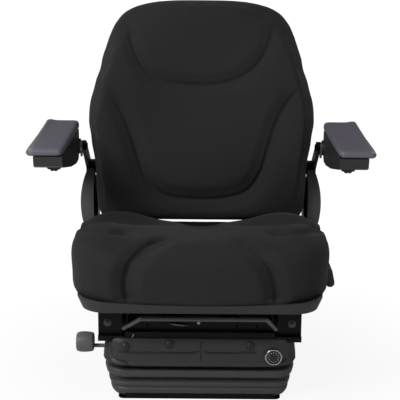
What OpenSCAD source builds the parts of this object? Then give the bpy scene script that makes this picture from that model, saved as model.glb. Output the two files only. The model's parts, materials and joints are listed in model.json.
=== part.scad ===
// Suspension seat for a tractor: scissor suspension in a bellows, slide rails, upholstered
// cushion and reclining backrest with two folding armrests.
// Millimetres. +Z is up and the seat faces -Y. The origin is on the floor at the centre of the
// base's bolt pattern. Left (-X) and right (+X) are as seen from the front.

/* [Base tray] */
// Width of the base tray
base_inset = 26; // [16:1:28]
// Length of the base tray, front to rear
base_end_inset = 11; // [8:1:24]
// Height of the folded lip round the base tray
base_lip_h = 12; // [8:1:14]
// Thickness of the pressed steel sheet
sheet_t = 3; // [2.5:0.1:3.2]
// Spacing of the mounting bolts across the seat
bolt_spacing_x = 220; // [200:1:224]
// Spacing of the mounting bolts front to rear
bolt_spacing_y = 260; // [250:1:280]
// Radius of the mounting bolt holes
bolt_hole_r = 5.5; // [4.5:0.1:6.5]

/* [Scissor] */
// Length of a scissor arm between its end pivots
arm_length = 250; // [246:1:256]
// Height between the lower and upper pivots with the seat raised
scissor_h = 100; // [94:1:106]
// Distance of the fixed pivots behind the origin
end_room = 60; // [54:1:64]
// Thickness of the arm plates
arm_t = 6; // [5:0.5:7]
// Radius of the arm plates at their ends
arm_end_r = 12; // [10:0.5:12.5]
// Half height of the arm plates at the centre pivot
arm_mid_r = 17; // [13:0.5:18]
// Distance of the outer arms' inner faces from the middle
side_room = 63; // [62:0.5:65]
// Gap between an inner arm and an outer arm
arm_gap = 4; // [3:0.5:6]
// Radius of the pivot shafts and roller axles
shaft_r = 6; // [5:0.25:6.5]
// Radius of the cross tubes that join each pair of arms
cross_tube_r = 9; // [8:0.25:9.5]
// Radius of the rollers
roller_r = 12; // [10.5:0.25:12.5]
// Width of the rollers
roller_w = 14; // [11:0.5:14.5]
// Radial clearance between a shaft and its bore
running_fit = 0.05; // [0.03:0.01:0.09]
// Clearance between a roller and its channel
roller_gap = 0.5; // [0.3:0.1:0.8]
// Wall of the roller channels
channel_t = 2.5; // [2:0.1:3]
// Length of the roller channels
channel_end_room = 14; // [12:1:22]

/* [Damper, springs and weight adjuster] */
// Distance of the damper from the middle
damper_x = 36; // [34:1:40]
// Radius of the damper tube
damper_r = 11; // [10:0.25:12]
// Length of the damper tube
damper_tube_l = 108; // [100:1:112]
// Radius of the damper rod
damper_rod_r = 5; // [4:0.25:6]
// Free room round the upper damper pin
damper_eye_gap = 2.2; // [2:0.1:2.6]
// Outer radius of the tension springs
spring_r = 12; // [10:0.25:12.5]
// Radius of the spring wire
spring_wire_r = 2.25; // [1.75:0.25:2.5]
// Distance of the tension springs from the middle
spring_x = 72; // [66:1:78]
// Distance of the spring anchor behind the origin
anchor_y = 62; // [56:1:64]
// Travel of the spring anchor
anchor_travel = 30; // [20:1:32]
// Radius of the adjuster shaft and of the tension spindle
adjuster_r = 4; // [3.5:0.25:4.5]
// Teeth on each bevel gear
bevel_teeth = 14; // [14:2:16]
// Module of the bevel gears
bevel_module = 1.5; // [1.4:0.05:1.55]
// Face width of the bevel gears
bevel_face = 5; // [4:0.25:5.5]
// Diameter of the weight knob
knob_d = 42; // [36:1:46]
// Length of the weight knob
knob_l = 35; // [29:1:38]
// Distance from the knob's middle line down to its shaft
knob_offset = 8; // [4:0.5:10]
// Distance of the knob's inner end from the middle
knob_reach = 24; // [23:1:33]

/* [Bellows] */
// Width of the bellows at its widest fold
bellows_w = 382; // [376:1:388]
// Length of the bellows at its widest fold
// Height of the apron panel above the folds
apron_h = 61; // [54:1:66]
// Corner radius of the bellows
bellows_corner_r = 40; // [34:1:46]
// Wall of the bellows
bellows_wall = 2; // [1.6:0.1:2.4]
// Depth of a bellows groove
fold_depth = 11; // [7:0.5:12]

/* [Rails] */
// Distance of the slide rails from the middle
rail_inset = 11; // [9:1:13]
// Height of the supports under the rails
rail_support_h = 16; // [12:1:20]
// Length of the lower rails
lower_rail_l = 326; // [316:1:330]
// Length of the upper rails
upper_rail_l = 250; // [230:1:260]
// Thickness of the rail walls
rail_t = 3; // [2.6:0.1:3.2]
// Radius of the rail balls
ball_r = 2.8; // [2.6:0.1:2.9]
// Room round each rail ball
ball_gap = 0.1; // [0.05:0.01:0.15]
// Rise of the upper rails over the lips of the lower rails
rail_rise = 19.4; // [17:0.2:22]
// Travel of the seat each way from the middle
slide_travel = 75; // [50:1:76]

/* [Seat] */
// Height of the pressed seat pan over the rails
pan_h = 19; // [16:1:22]
// Width of the cushion tray at the front
cushion_tray_w = 480; // [472:1:490]
// Distance of the cushion tray's front edge from the origin
cushion_tray_front = 262; // [256:1:268]
// Height of the tray wall at the middle
tray_wall_h = 17; // [14:1:22]
// Width of the seat cushion
cushion_w = 520; // [508:1:526]
// Height of the cushion over its tray at the front crest
cushion_h = 124; // [112:1:130]
// Room between a soft part and its neighbours
soft_gap = 0.5; // [0.3:0.1:1]

/* [Backrest] */
// Lean of the backrest from upright, degrees
back_lean = 11.3; // [8:0.1:13]
// Height of the backrest along its own slope
back_h = 486; // [470:1:500]
// Half width of the backrest at its widest
back_half_w = 253; // [246:1:255]
// Height of the recline axis
recline_z = 250; // [247:0.5:253]
// Distance of the recline axis behind the origin
recline_y = 195; // [192:0.5:198]
// Distance of the hinge arms' inner faces from the middle
hinge_arm_x = 229; // [228:0.5:231]
// Thickness of the hinge arms and recline plates
hinge_t = 6; // [5:0.5:6.5]
// Radius of the recline pins
recline_pin_r = 7; // [6:0.25:8]
// Radius of the backrest frame tube
frame_tube_r = 10; // [8:0.5:11]

/* [Armrests] */
// Width of an armrest pad
pad_w = 72; // [64:1:78]
// Length of an armrest pad
pad_l = 300; // [290:1:306]
// Distance of a pad's inner edge from the middle
pad_x = 272; // [271:0.5:274]
// Height of the armrest pivot
arm_pivot_z = 459; // [456:1:462]
// Distance of the armrest pivot behind the origin
arm_pivot_y = 160; // [156:1:164]
// Radius of the armrest pivot bolt
arm_pin_r = 5; // [4:0.25:6]
// Diameter of the armrest thumb wheel
wheel_d = 36; // [30:1:37]
// Width of the armrest thumb wheel
wheel_w = 12; // [8:1:14]

/* [Hidden] */
$fn = 48;

// Finish colours, as the object shows them
black_steel = "#151517";
zinc = "#b9bcc0";
rubber_grey = "#444446";
fabric_black = "#2a292b";
plastic_grey = "#484748";
plastic_dark = "#2f2e2f";
pad_grey = "#5c5a63";
knob_grey = "#77787b";
spring_steel = "#8e9194";

// Scissor geometry
arm_angle = asin(scissor_h / arm_length);
// The bellows, the tray and the frame grow with the arms, and the arms' places with the bellows
pivot_y = arm_length / 2;
bellows_l = arm_length + 2 * end_room;
outer_arm_x = bellows_w / 2 - side_room;
channel_l = arm_length - channel_end_room;
base_w = bellows_w - 2 * base_inset;
base_l = bellows_l - 2 * base_end_inset;
knob_x = bellows_w / 2 + knob_reach;
rail_x = bellows_w / 2 - rail_inset;
arm_reach = arm_length * cos(arm_angle);
roller_y = pivot_y - arm_reach;
lower_z = sheet_t + channel_t + roller_gap + roller_r;
upper_z = lower_z + scissor_h;
centre_y = pivot_y - arm_reach / 2;
centre_z = (lower_z + upper_z) / 2;
inner_arm_x = outer_arm_x - arm_gap - arm_t;
outer_face_x = outer_arm_x + arm_t;
channel_x = outer_face_x + 5;
roller_x = channel_x + 1;
channel_web_x = roller_x + roller_w + 3;
channel_front_y = roller_y - 38;
bracket_x = outer_face_x + 3;
bracket_t = 4;
shaft_head_t = 2.5;
shaft_head_r = shaft_r + 3;
bore_r = shaft_r + running_fit;
touch = 0.01;
side_gap = 0.3;

// Upper frame and rails, each resting on the one below
frame_low_z = upper_z + roller_r + roller_gap + channel_t;
frame_top_z = frame_low_z + sheet_t;
frame_front_y = 7 - bellows_l / 2;
frame_rear_y = bellows_l / 2 - 19;
frame_lip_h = 9;
frame_skirt_h = 45;
frame_skirt_y = 20 - bellows_l / 2;
rail_outer = 24;
rail_foot = 20;
rail_web = 12.5;
rail_lip = 14.5;
rail_z = frame_top_z + rail_support_h;
foot_z = rail_z + rail_t + 2 * (ball_r + ball_gap);
rail_lip_z = foot_z + rail_t + 2 * (ball_r + ball_gap);
upper_rail_z = rail_lip_z + rail_t + rail_rise;
ball_offset = (rail_web + rail_outer - rail_t) / 2;
rail_front_y = frame_skirt_y;
bolt_head_h = 4;
upper_rail_front_y = rail_front_y + slide_travel + bolt_head_h + 1.5;
support_x = rail_x - rail_outer - 6;
support_w = 2 * rail_outer + 6;

// Weight adjuster
spindle_z = upper_z - cross_tube_r - 1 - adjuster_r;
adjuster_y = -pivot_y - 23;
bevel_r = bevel_module * bevel_teeth / 2;
anchor_bar_r = 5;
anchor_half_w = 96;
spindle_end_y = anchor_y + anchor_travel + 16;

// Damper, a line from the base to the upper frame
damper_low = [pivot_y - 25, lower_z + 12];
damper_high = [-60, upper_z + 2];
damper_line = damper_high - damper_low;
damper_length = norm(damper_line);
damper_angle = atan2(damper_line[1], -damper_line[0]);
damper_pin_r = 4;
damper_eye_r = damper_pin_r + 5;
damper_eye_w = 14;
damper_bore_r = damper_r - 2;
upper_eye_bore = damper_pin_r + damper_eye_gap;

// Bellows, between the base tray and the upper frame
bellows_top_z = frame_low_z - side_gap;
apron_z = bellows_top_z - apron_h;
fold_low_z = 9;

// Seat stack over the rails
pan_top_z = upper_rail_z + pan_h;
cushion_tray_z = pan_top_z + side_gap;
tray_floor_t = 3;
cushion_z = cushion_tray_z + tray_floor_t + soft_gap;
hinge_face_x = hinge_arm_x + hinge_t;
plate_x = hinge_face_x + 1;
seat_rear_y = 190;

// Backrest, drawn in a frame that leans with it
back_foot_y = 165;
back_foot_z = 300;
back_front_t = -45;
back_rear_t = 18;
shell_rear_t = 46;
shell_wall = 2.5;
frame_t = (back_rear_t + shell_rear_t) / 2 + 1;

// Armrests
bracket_bar_x = 258;
bracket_bar_t = 8;
stop_x = bracket_bar_x + bracket_bar_t + side_gap;
stop_t = 4;
arm_base_x = stop_x + stop_t + side_gap;
pad_front_y = arm_pivot_y + 12 - pad_l;
wheel_x = pad_x + pad_w / 3;

function smooth(v, a, b) = let (u = min(1, max(0, (v - a) / (b - a)))) u * u * (3 - 2 * u);
function bump(v, c, w) = exp(-pow((v - c) / w, 2));
function mix(a, b, u) = a + (b - a) * u;

// Rounded rectangle ring of 4 * (steps + 1) points at height z
function rounded_ring(half_x, half_y, r, z, steps) = [
    for (q = [0:3], i = [0:steps])
        let (a = 90 * q + 90 * i / steps, sx = (q == 0 || q == 3) ? 1 : -1, sy = q < 2 ? 1 : -1)
        [sx * (half_x - r) + r * cos(a), sy * (half_y - r) + r * sin(a), z]];

// Closed skin through rings that hold the same number of points, turning anticlockwise upwards
module skin(rings) {
    n = len(rings[0]);
    m = len(rings);
    polyhedron(
        points = [for (ring = rings, p = ring) p],
        faces = concat(
            [[for (i = [0:n - 1]) i]],
            [for (k = [0:m - 2], i = [0:n - 1]) let (j = (i + 1) % n)
                [k * n + i, (k + 1) * n + i, (k + 1) * n + j]],
            [for (k = [0:m - 2], i = [0:n - 1]) let (j = (i + 1) % n)
                [k * n + i, (k + 1) * n + j, k * n + j]],
            [[for (i = [n - 1:-1:0]) (m - 1) * n + i]]));
}

module both_sides() {
    children();
    mirror([1, 0, 0]) children();
}

// Cylinder along X from x0 to x1
module x_rod(x0, x1, r, y = 0, z = 0) {
    translate([x0, y, z]) rotate([0, 90, 0]) cylinder(h = x1 - x0, r = r);
}

// Cylinder along Y from y0 to y1
module y_rod(y0, y1, r, x = 0, z = 0) {
    translate([x, y0, z]) rotate([-90, 0, 0]) cylinder(h = y1 - y0, r = r);
}

// Block given by its two corners
module block(low, high) {
    translate(low) cube(high - low);
}

// Flat outline given in the Y-Z plane, made a plate from x0 to x1
module side_plate(x0, x1) {
    translate([x0, 0, 0]) rotate([90, 0, 90]) linear_extrude(height = x1 - x0) children();
}

module rounded_rect(size, r) {
    translate([r, 0]) square([size[0] - 2 * r, size[1]]);
    translate([0, r]) square([size[0], size[1] - 2 * r]);
    for (x = [r, size[0] - r], y = [r, size[1] - r]) translate([x, y]) circle(r = r);
}

// Base tray

// Roller channel, open towards the middle, with its inside on the roller's line at z
module roller_channel(z) {
    outer_h = 2 * (roller_r + roller_gap + channel_t);
    difference() {
        block([channel_x, channel_front_y, z - outer_h / 2],
            [channel_web_x + channel_t, channel_front_y + channel_l, z + outer_h / 2]);
        block([channel_x - 1, channel_front_y - 1, z - outer_h / 2 + channel_t],
            [channel_web_x, channel_front_y + channel_l + 1, z + outer_h / 2 - channel_t]);
    }
}

// Ear that holds a pivot shaft, reaching from the shaft to the sheet at z_foot
module shaft_ear(z, z_foot) {
    side_plate(bracket_x, bracket_x + bracket_t) difference() {
        union() {
            translate([pivot_y, z]) circle(r = arm_end_r + 2);
            translate([pivot_y - arm_end_r - 2, min(z, z_foot)])
                square([2 * arm_end_r + 4, abs(z_foot - z)]);
        }
        translate([pivot_y, z]) circle(r = bore_r);
    }
}

module eye_ears(x, y, z, z_foot, pin_r) {
    for (s = [-1, 1]) side_plate(x + s * (damper_eye_w / 2 + 2) - 1.5, x + s * (damper_eye_w / 2 + 2) + 1.5)
        union() {
            difference() {
                translate([y, z]) circle(r = pin_r + 5);
                translate([y, z]) circle(r = pin_r + running_fit);
            }
            ear_low = min(z_foot, z_foot < z ? z - pin_r - 1 : z + pin_r + 1);
            ear_high = max(z_foot, z_foot < z ? z - pin_r - 1 : z + pin_r + 1);
            translate([y - pin_r - 5, ear_low]) square([2 * pin_r + 10, ear_high - ear_low]);
        }
}

module base_tray() color(black_steel) difference() {
    union() {
        translate([-base_w / 2, -base_l / 2, 0]) linear_extrude(height = sheet_t)
            rounded_rect([base_w, base_l], 12);
        for (s = [-1, 1]) block([-base_w / 2 + 14, s * base_l / 2 - (s + 1) * sheet_t / 2, 0],
            [base_w / 2 - 14, s * base_l / 2 + (1 - s) * sheet_t / 2, base_lip_h]);
        both_sides() roller_channel(lower_z);
        both_sides() shaft_ear(lower_z, sheet_t - touch);
        eye_ears(damper_x, damper_low[0], damper_low[1], sheet_t - touch, damper_pin_r);
        x_rod(damper_x - damper_eye_w / 2 - 6, damper_x + damper_eye_w / 2 + 6, damper_pin_r,
            damper_low[0], damper_low[1]);
        for (y = [-40, 60]) block([-60, y, sheet_t - touch], [0, y + 8, sheet_t + 3]);
    }
    for (x = [-1, 1], y = [-1, 1])
        translate([x * bolt_spacing_x / 2, y * bolt_spacing_y / 2, -1])
            cylinder(h = sheet_t + 2, r = bolt_hole_r);
}

module bump_stops() color(plastic_dark)
    for (x = [-1, 1], y = [-1, 1])
        translate([x * 84, y * 40 + 10, sheet_t]) rotate_extrude()
            polygon([[0, 0], [13, 0], [13, 4], [10, 8], [11, 12], [8, 18], [0, 20]]);

// Pivot shaft with a turned head at each end, at height z
module pivot_shaft(z) {
    x_end = bracket_x + bracket_t + side_gap;
    x_rod(-x_end, x_end, shaft_r, pivot_y, z);
    both_sides() x_rod(x_end - touch, x_end + shaft_head_t, shaft_head_r, pivot_y, z);
}

module lower_pivot_shaft() color(zinc) pivot_shaft(lower_z);
module upper_pivot_shaft() color(zinc) pivot_shaft(upper_z);

// Scissor

// Side outline of an arm with its rear pivot at the origin and its front pivot along +X
module arm_outline() difference() {
    union() {
        for (p = [0, arm_length]) translate([p, 0]) circle(r = arm_end_r);
        polygon([[0, arm_end_r], [arm_length / 2 - 22, arm_mid_r], [arm_length / 2 + 22, arm_mid_r],
            [arm_length, arm_end_r], [arm_length, -arm_end_r], [arm_length / 2 + 22, -arm_mid_r],
            [arm_length / 2 - 22, -arm_mid_r], [0, -arm_end_r]]);
    }
    for (p = [0, arm_length / 2, arm_length]) translate([p, 0]) circle(r = bore_r);
    for (p = [arm_length / 4, arm_length * 3 / 4]) translate([p, 0]) circle(r = 7);
}

// Pair of arms and two cross tubes; turn points the arms from the rear pivot at rear_z forwards
module scissor_frame(x, rear_z, turn) {
    both_sides() translate([x, pivot_y, rear_z]) rotate([turn, 0, 0]) rotate([0, 90, 0])
        linear_extrude(height = arm_t) arm_outline();
    front_z = lower_z + upper_z - rear_z;
    for (p = [[pivot_y, rear_z], [roller_y, front_z]]) difference() {
        x_rod(-x - touch, x + touch, cross_tube_r, p[0], p[1]);
        x_rod(-x - 1, x + 1, bore_r, p[0], p[1]);
    }
}

module outer_scissor_frame() color(black_steel)
    scissor_frame(outer_arm_x, lower_z, 270 - arm_angle);

module inner_scissor_frame() color(black_steel)
    scissor_frame(inner_arm_x, upper_z, 270 + arm_angle);

module centre_pins() color(zinc) both_sides() {
    x_rod(inner_arm_x - side_gap - 2, outer_face_x + side_gap + 1.5, shaft_r, centre_y, centre_z);
    x_rod(inner_arm_x - side_gap - 2, inner_arm_x - side_gap, shaft_head_r, centre_y, centre_z);
    x_rod(outer_face_x + side_gap, outer_face_x + side_gap + 1.5, shaft_head_r, centre_y, centre_z);
}

module roller_axle(z) {
    x_end = roller_x + roller_w + side_gap;
    x_rod(-x_end, x_end, shaft_r, roller_y, z);
    both_sides() x_rod(x_end - touch, x_end + 1.5, shaft_head_r - 0.5, roller_y, z);
}

module lower_roller_axle() color(zinc) roller_axle(lower_z);
module upper_roller_axle() color(zinc) roller_axle(upper_z);

module rollers(z) both_sides() translate([roller_x, roller_y, z]) rotate([0, 90, 0])
    rotate_extrude() polygon([[bore_r, 0], [roller_r - 1.5, 0], [roller_r, 1.5],
        [roller_r, roller_w - 1.5], [roller_r - 1.5, roller_w], [bore_r, roller_w]]);

module lower_rollers() color(plastic_grey) rollers(lower_z);
module upper_rollers() color(plastic_grey) rollers(upper_z);

// Bellows

function bellows_ring(inset, z) = rounded_ring(bellows_w / 2 - inset, bellows_l / 2 - inset,
    bellows_corner_r - inset / 2, z, 7);

// Outline of the folds, from the foot on the base tray up to the apron: inset and height
// inset of the sides, inset of the front and rear, height; the grooves run deep in front only
fold_section = [
    [18, 18, fold_low_z], [15, 15, fold_low_z + 4], [12, 12, fold_low_z + 11], [10.5, 14.5, fold_low_z + 16],
    [9.5, 9, fold_low_z + 21], [7.5, 7, fold_low_z + 27], [6, 5.5, fold_low_z + 31],
    [5.5, 4 + fold_depth, fold_low_z + 36.5], [4, 4, fold_low_z + 42], [3, 2.5, fold_low_z + 47],
    [3, 2, fold_low_z + 52], [4, 2.5 + fold_depth, fold_low_z + 58], [4, 4, apron_z - side_gap]];
function fold_ring(p, wall) = rounded_ring(bellows_w / 2 - p[0] - wall, bellows_l / 2 - p[1] - wall,
    bellows_corner_r - p[0] / 2 - wall / 2, p[2], 7);

module bellows_folds() color(rubber_grey) difference() {
    skin([for (p = fold_section) fold_ring(p, 0)]);
    skin(concat([fold_ring([18, 18, fold_low_z - 1], bellows_wall)], [for (p = fold_section) fold_ring(p, bellows_wall)],
        [fold_ring([4, 4, apron_z + 1], bellows_wall)]));
}

// Stiff apron over the folds, clipped under the upper frame, with a raised panel line in front
module bellows_apron() color(rubber_grey) difference() {
    union() {
        skin([bellows_ring(3, apron_z), bellows_ring(0, apron_z + 7), bellows_ring(0, apron_z + 30),
            bellows_ring(5, bellows_top_z)]);
        translate([-panel_half_w, 5 - bellows_l / 2, apron_z + 3]) rotate([90, 0, 0])
            linear_extrude(height = 5 + panel_proud) difference() {
                rounded_rect([2 * panel_half_w, panel_h], 24);
                translate([panel_half_w - 1, -1]) square([2, panel_h + 2]);
            }
        for (s = [-1, 1]) translate([s * panel_half_w / 2 - band_half_w, -bellows_l / 2, apron_z + 9])
            rotate([90, 0, 0]) linear_extrude(height = panel_proud + 0.7) rounded_rect([2 * band_half_w, 17], 8);
        y_rod(-bellows_l / 2 - panel_proud - 1.5, 2 - bellows_l / 2, dial_r + 2.5, dial_x, dial_z);
    }
    skin([bellows_ring(3 + bellows_wall, apron_z - 1), bellows_ring(bellows_wall, apron_z + 7),
        bellows_ring(bellows_wall, apron_z + 30), bellows_ring(5 + bellows_wall, bellows_top_z + 1)]);
    x_rod(-bellows_w / 2 - 5, -bellows_w / 2 + 20, adjuster_r + 4, adjuster_y, spindle_z);
    for (p = plug_places) y_rod(-bellows_l / 2 - 5, -bellows_l / 2 + 20, plug_r - 3, p[0], p[1]);
    y_rod(-bellows_l / 2 - 5, -bellows_l / 2 + 20, dial_r - 4, dial_x, dial_z);
}

panel_half_w = bellows_w / 2 - bellows_corner_r - 1;
panel_h = apron_h - 5;
panel_proud = 1.8;
band_half_w = panel_half_w / 2 - 9;
panel_y = -bellows_l / 2 - panel_proud;
plug_r = 9;
plug_places = [[-panel_half_w + 12, apron_z + 38], [-0.163 * bellows_w, apron_z + 45], [0.272 * bellows_w, apron_z + 45]];
dial_r = 17;
dial_x = panel_half_w - 2;
dial_z = apron_z + 26;

// Domed push plugs through the apron into the frame skirt
module bellows_plugs() color(plastic_dark) for (p = plug_places) {
    y_rod(panel_y - 0.5, frame_skirt_y + side_gap - 3.6, plug_r - 3.5, p[0], p[1]);
    translate([p[0], panel_y - side_gap, p[1]]) rotate([90, 0, 0]) rotate_extrude()
        polygon([[0, 0], [plug_r, 0], [plug_r, 1], [plug_r - 1, 2.6], [plug_r - 3.5, 4], [0, 4.8]]);
}

module dial_bezel() color(zinc) translate([dial_x, panel_y - 1.5 - side_gap, dial_z])
    rotate([90, 0, 0]) rotate_extrude()
        polygon([[dial_r - 2.5, 0], [dial_r, 0], [dial_r, 2], [dial_r - 1, 3], [dial_r - 2.5, 3]]);

// Dial face on a stem from the frame skirt, with a raised pointer and ring of ticks
module dial_face() color(plastic_dark) {
    face_y = panel_y - 1.5 - side_gap;
    y_rod(face_y - 1.4, frame_skirt_y - 3 - side_gap, dial_r - 5, dial_x, dial_z);
    y_rod(face_y - 1.8, face_y - 0.4, dial_r - 3, dial_x, dial_z);
    for (a = [0:30:330]) translate([dial_x, face_y - 1.7, dial_z]) rotate([0, a, 0])
        block([dial_r - 7, -0.5, -0.5], [dial_r - 4.5, 0, 0.5]);
}

// Upper frame

module upper_frame() color(black_steel) difference() {
    union() {
        block([-rail_x - rail_outer, frame_front_y, frame_low_z],
            [rail_x + rail_outer, frame_rear_y, frame_top_z]);
        block([-support_x, frame_front_y, frame_top_z - touch],
            [support_x, frame_front_y + sheet_t, frame_top_z + frame_lip_h]);
        block([-channel_web_x, frame_skirt_y - sheet_t, frame_low_z - frame_skirt_h],
            [channel_web_x, frame_skirt_y, frame_low_z + touch]);
        both_sides() roller_channel(upper_z);
        both_sides() shaft_ear(upper_z, frame_low_z + touch);
        eye_ears(damper_x, damper_high[0], damper_high[1], frame_low_z + touch, damper_pin_r);
        x_rod(damper_x - damper_eye_w / 2 - 6, damper_x + damper_eye_w / 2 + 6, damper_pin_r,
            damper_high[0], damper_high[1]);
        both_sides() rail_support();
        both_sides() block([rail_x - 2, frame_front_y, frame_low_z - 8],
            [rail_x + rail_outer, frame_front_y + sheet_t, frame_low_z + touch]);
        both_sides() anchor_guide();
        adjuster_ears();
    }
    for (x = [-60, 60], y = [-60, 90]) translate([x, y, frame_low_z - 1])
        cylinder(h = sheet_t + 2, r = 22);
}

// Inverted channel that carries a lower rail
module rail_support() difference() {
    block([support_x, rail_front_y, frame_top_z - touch],
        [support_x + support_w, rail_front_y + lower_rail_l, rail_z]);
    block([support_x + sheet_t, rail_front_y - 1, frame_top_z],
        [support_x + support_w - sheet_t, rail_front_y + lower_rail_l + 1, rail_z - sheet_t]);
}

// Slotted ear that the spring anchor slides in
module anchor_guide() {
    slot_r = anchor_bar_r + side_gap;
    side_plate(anchor_half_w - 8, anchor_half_w - 4) difference() {
        translate([anchor_y - slot_r - 8, upper_z - slot_r - 6])
            square([anchor_travel + 2 * slot_r + 16, frame_low_z + touch - upper_z + slot_r + 6]);
        translate([anchor_y, upper_z - slot_r]) square([anchor_travel, 2 * slot_r]);
        for (y = [anchor_y, anchor_y + anchor_travel]) translate([y, upper_z]) circle(r = slot_r);
    }
}

// Ears for the adjuster shaft and the front of the spindle
module adjuster_ears() {
    ear_r = adjuster_r + 4;
    for (x = [-channel_web_x + 12, -bevel_r - 16]) difference() {
        block([x, adjuster_y - ear_r, spindle_z - ear_r], [x + 4, adjuster_y + ear_r, frame_low_z + touch]);
        x_rod(x - 1, x + 5, adjuster_r + running_fit, adjuster_y, spindle_z);
    }
    ear_y = adjuster_y + bevel_r + 4;
    difference() {
        block([-ear_r, ear_y, spindle_z - ear_r], [ear_r, ear_y + 4, frame_low_z + touch]);
        y_rod(ear_y - 1, ear_y + 5, adjuster_r + running_fit, 0, spindle_z);
    }
}

// Springs, adjuster and damper

// Close-wound coil, drawn as a turned wall whose outside follows each turn of the wire
module coil(length, r, wire_r) {
    turns = floor(length / (2 * wire_r));
    rotate_extrude() polygon(concat(
        [[r - 2 * wire_r, 0]],
        [for (t = [0:turns - 1], a = [-75:30:75])
            [r - wire_r + wire_r * cos(a), (2 * t + 1) * wire_r + wire_r * sin(a)]],
        [[r - 2 * wire_r, 2 * turns * wire_r]]));
}

// Hooked end of a spring round a bar of radius bar_r
module spring_hook(bar_r) {
    ring_r = bar_r + side_gap + spring_wire_r;
    rotate([0, 90, 0]) rotate_extrude() translate([ring_r, 0]) circle(r = spring_wire_r, $fn = 24);
}

module tension_springs() color(spring_steel) both_sides() translate([spring_x, 0, upper_z]) {
    front_ring = cross_tube_r + side_gap + 2 * spring_wire_r;
    rear_ring = anchor_bar_r + side_gap + 2 * spring_wire_r;
    coil_start = roller_y + front_ring + 12;
    coil_end = anchor_y - rear_ring - 12;
    translate([0, roller_y, 0]) spring_hook(cross_tube_r);
    translate([0, anchor_y, 0]) spring_hook(anchor_bar_r);
    translate([0, coil_start, 0]) rotate([-90, 0, 0]) coil(coil_end - coil_start, spring_r, spring_wire_r);
    y_rod(roller_y + front_ring - spring_wire_r, coil_start + 4, spring_wire_r);
    y_rod(coil_end - 8, anchor_y - rear_ring + spring_wire_r, spring_wire_r);
    for (y = [coil_start, coil_end - 6])
        y_rod(y, y + 3, spring_r - 2 * spring_wire_r + 0.4);
}

// Bar that the springs pull on, with the nut block that runs on the spindle
module spring_anchor() color(zinc) difference() {
    union() {
        x_rod(-anchor_half_w, anchor_half_w, anchor_bar_r, anchor_y, upper_z);
        block([-11, anchor_y - 9, spindle_z - adjuster_r - 4], [11, anchor_y + 9, upper_z + anchor_bar_r + 2]);
    }
    y_rod(anchor_y - 10, anchor_y + 10, adjuster_r + running_fit, 0, spindle_z);
}

// Bevel gear on +Z with its pitch apex at the origin and its back on z = -bevel_r
module bevel_gear(phase) {
    inner = (bevel_r - bevel_face * sin(45)) / bevel_r;
    depth = bevel_face * sin(45);
    pitch = 360 / bevel_teeth;
    translate([0, 0, -bevel_r]) rotate(phase) {
        linear_extrude(height = depth, scale = inner) difference() {
            circle(r = bevel_r + bevel_module * 0.7, $fn = 4 * bevel_teeth);
            for (i = [0:bevel_teeth - 1]) rotate((i + 0.5) * pitch)
                polygon([[bevel_r - bevel_module * 0.95, -0.34 * bevel_module],
                    [bevel_r + bevel_module, -1.4 * bevel_module],
                    [bevel_r + bevel_module, 1.4 * bevel_module],
                    [bevel_r - bevel_module * 0.95, 0.34 * bevel_module]]);
        }
        translate([0, 0, -4]) cylinder(h = 4 + touch, r = bevel_r - 2);
    }
}

// Threaded spindle along +Y with its bevel gear
module tension_spindle() color(zinc) {
    gear_y = adjuster_y + bevel_r;
    difference() {
        translate([0, adjuster_y, spindle_z]) rotate([90, 0, 0]) bevel_gear(0);
        y_rod(adjuster_y - bevel_r, gear_y + 6, adjuster_r - touch, 0, spindle_z);
    }
    y_rod(gear_y - bevel_face * sin(45), spindle_end_y, adjuster_r, 0, spindle_z);
}

// Adjuster shaft along X with its bevel gear and the hand knob, which sits off its centre line
module weight_knob() {
    color(zinc) difference() {
        translate([0, adjuster_y, spindle_z]) rotate([0, 90, 0]) bevel_gear(90 - 180 / bevel_teeth);
        x_rod(-bevel_r - 6, 0, adjuster_r - touch, adjuster_y, spindle_z);
    }
    color(zinc) x_rod(-knob_x - 12, -bevel_r + bevel_face * sin(45), adjuster_r, adjuster_y, spindle_z);
    color(knob_grey) difference() {
        translate([-knob_x, adjuster_y, spindle_z + knob_offset]) rotate([0, -90, 0]) rotate_extrude()
            polygon([[0, 0], [knob_d / 2 - 5, 0], [knob_d / 2 - 2, 2], [knob_d / 2 - 0.5, knob_l * 0.3],
                [knob_d / 2, knob_l * 0.55], [knob_d / 2 - 0.6, knob_l * 0.8], [knob_d / 2 - 2.5, knob_l - 1.5],
                [knob_d / 2 - 5, knob_l], [0, knob_l]]);
        x_rod(-knob_x - 12, 0, adjuster_r - touch, adjuster_y, spindle_z);
    }
}

// Stands children on the lower damper pin, with +Z along the damper
module along_damper() {
    translate([damper_x, damper_low[0], damper_low[1]]) rotate([90 - damper_angle, 0, 0]) children();
}

module damper_cylinder() color(black_steel) along_damper() difference() {
    union() {
        rotate([0, 90, 0]) translate([0, 0, -damper_eye_w / 2]) cylinder(h = damper_eye_w, r = damper_eye_r);
        cylinder(h = 16, r = 6);
        translate([0, 0, 14]) cylinder(h = damper_tube_l, r = damper_r);
    }
    rotate([0, 90, 0]) translate([0, 0, -damper_eye_w]) cylinder(h = 2 * damper_eye_w, r = damper_pin_r + running_fit);
    translate([0, 0, 20]) cylinder(h = damper_tube_l - 12, r = damper_bore_r);
    translate([0, 0, 20]) cylinder(h = damper_tube_l, r = damper_rod_r + running_fit);
}

module damper_rod() color(zinc) along_damper() difference() {
    union() {
        translate([0, 0, 60]) cylinder(h = damper_length - 60 - upper_eye_bore, r = damper_rod_r);
        translate([0, 0, 58]) cylinder(h = 8, r = damper_bore_r - 0.2);
        translate([-damper_eye_w / 2, 0, damper_length]) rotate([0, 90, 0])
            cylinder(h = damper_eye_w, r = upper_eye_bore + 3.5);
    }
    translate([-damper_eye_w, 0, damper_length]) rotate([0, 90, 0])
        cylinder(h = 2 * damper_eye_w, r = upper_eye_bore);
}

// Slide rails

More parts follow.
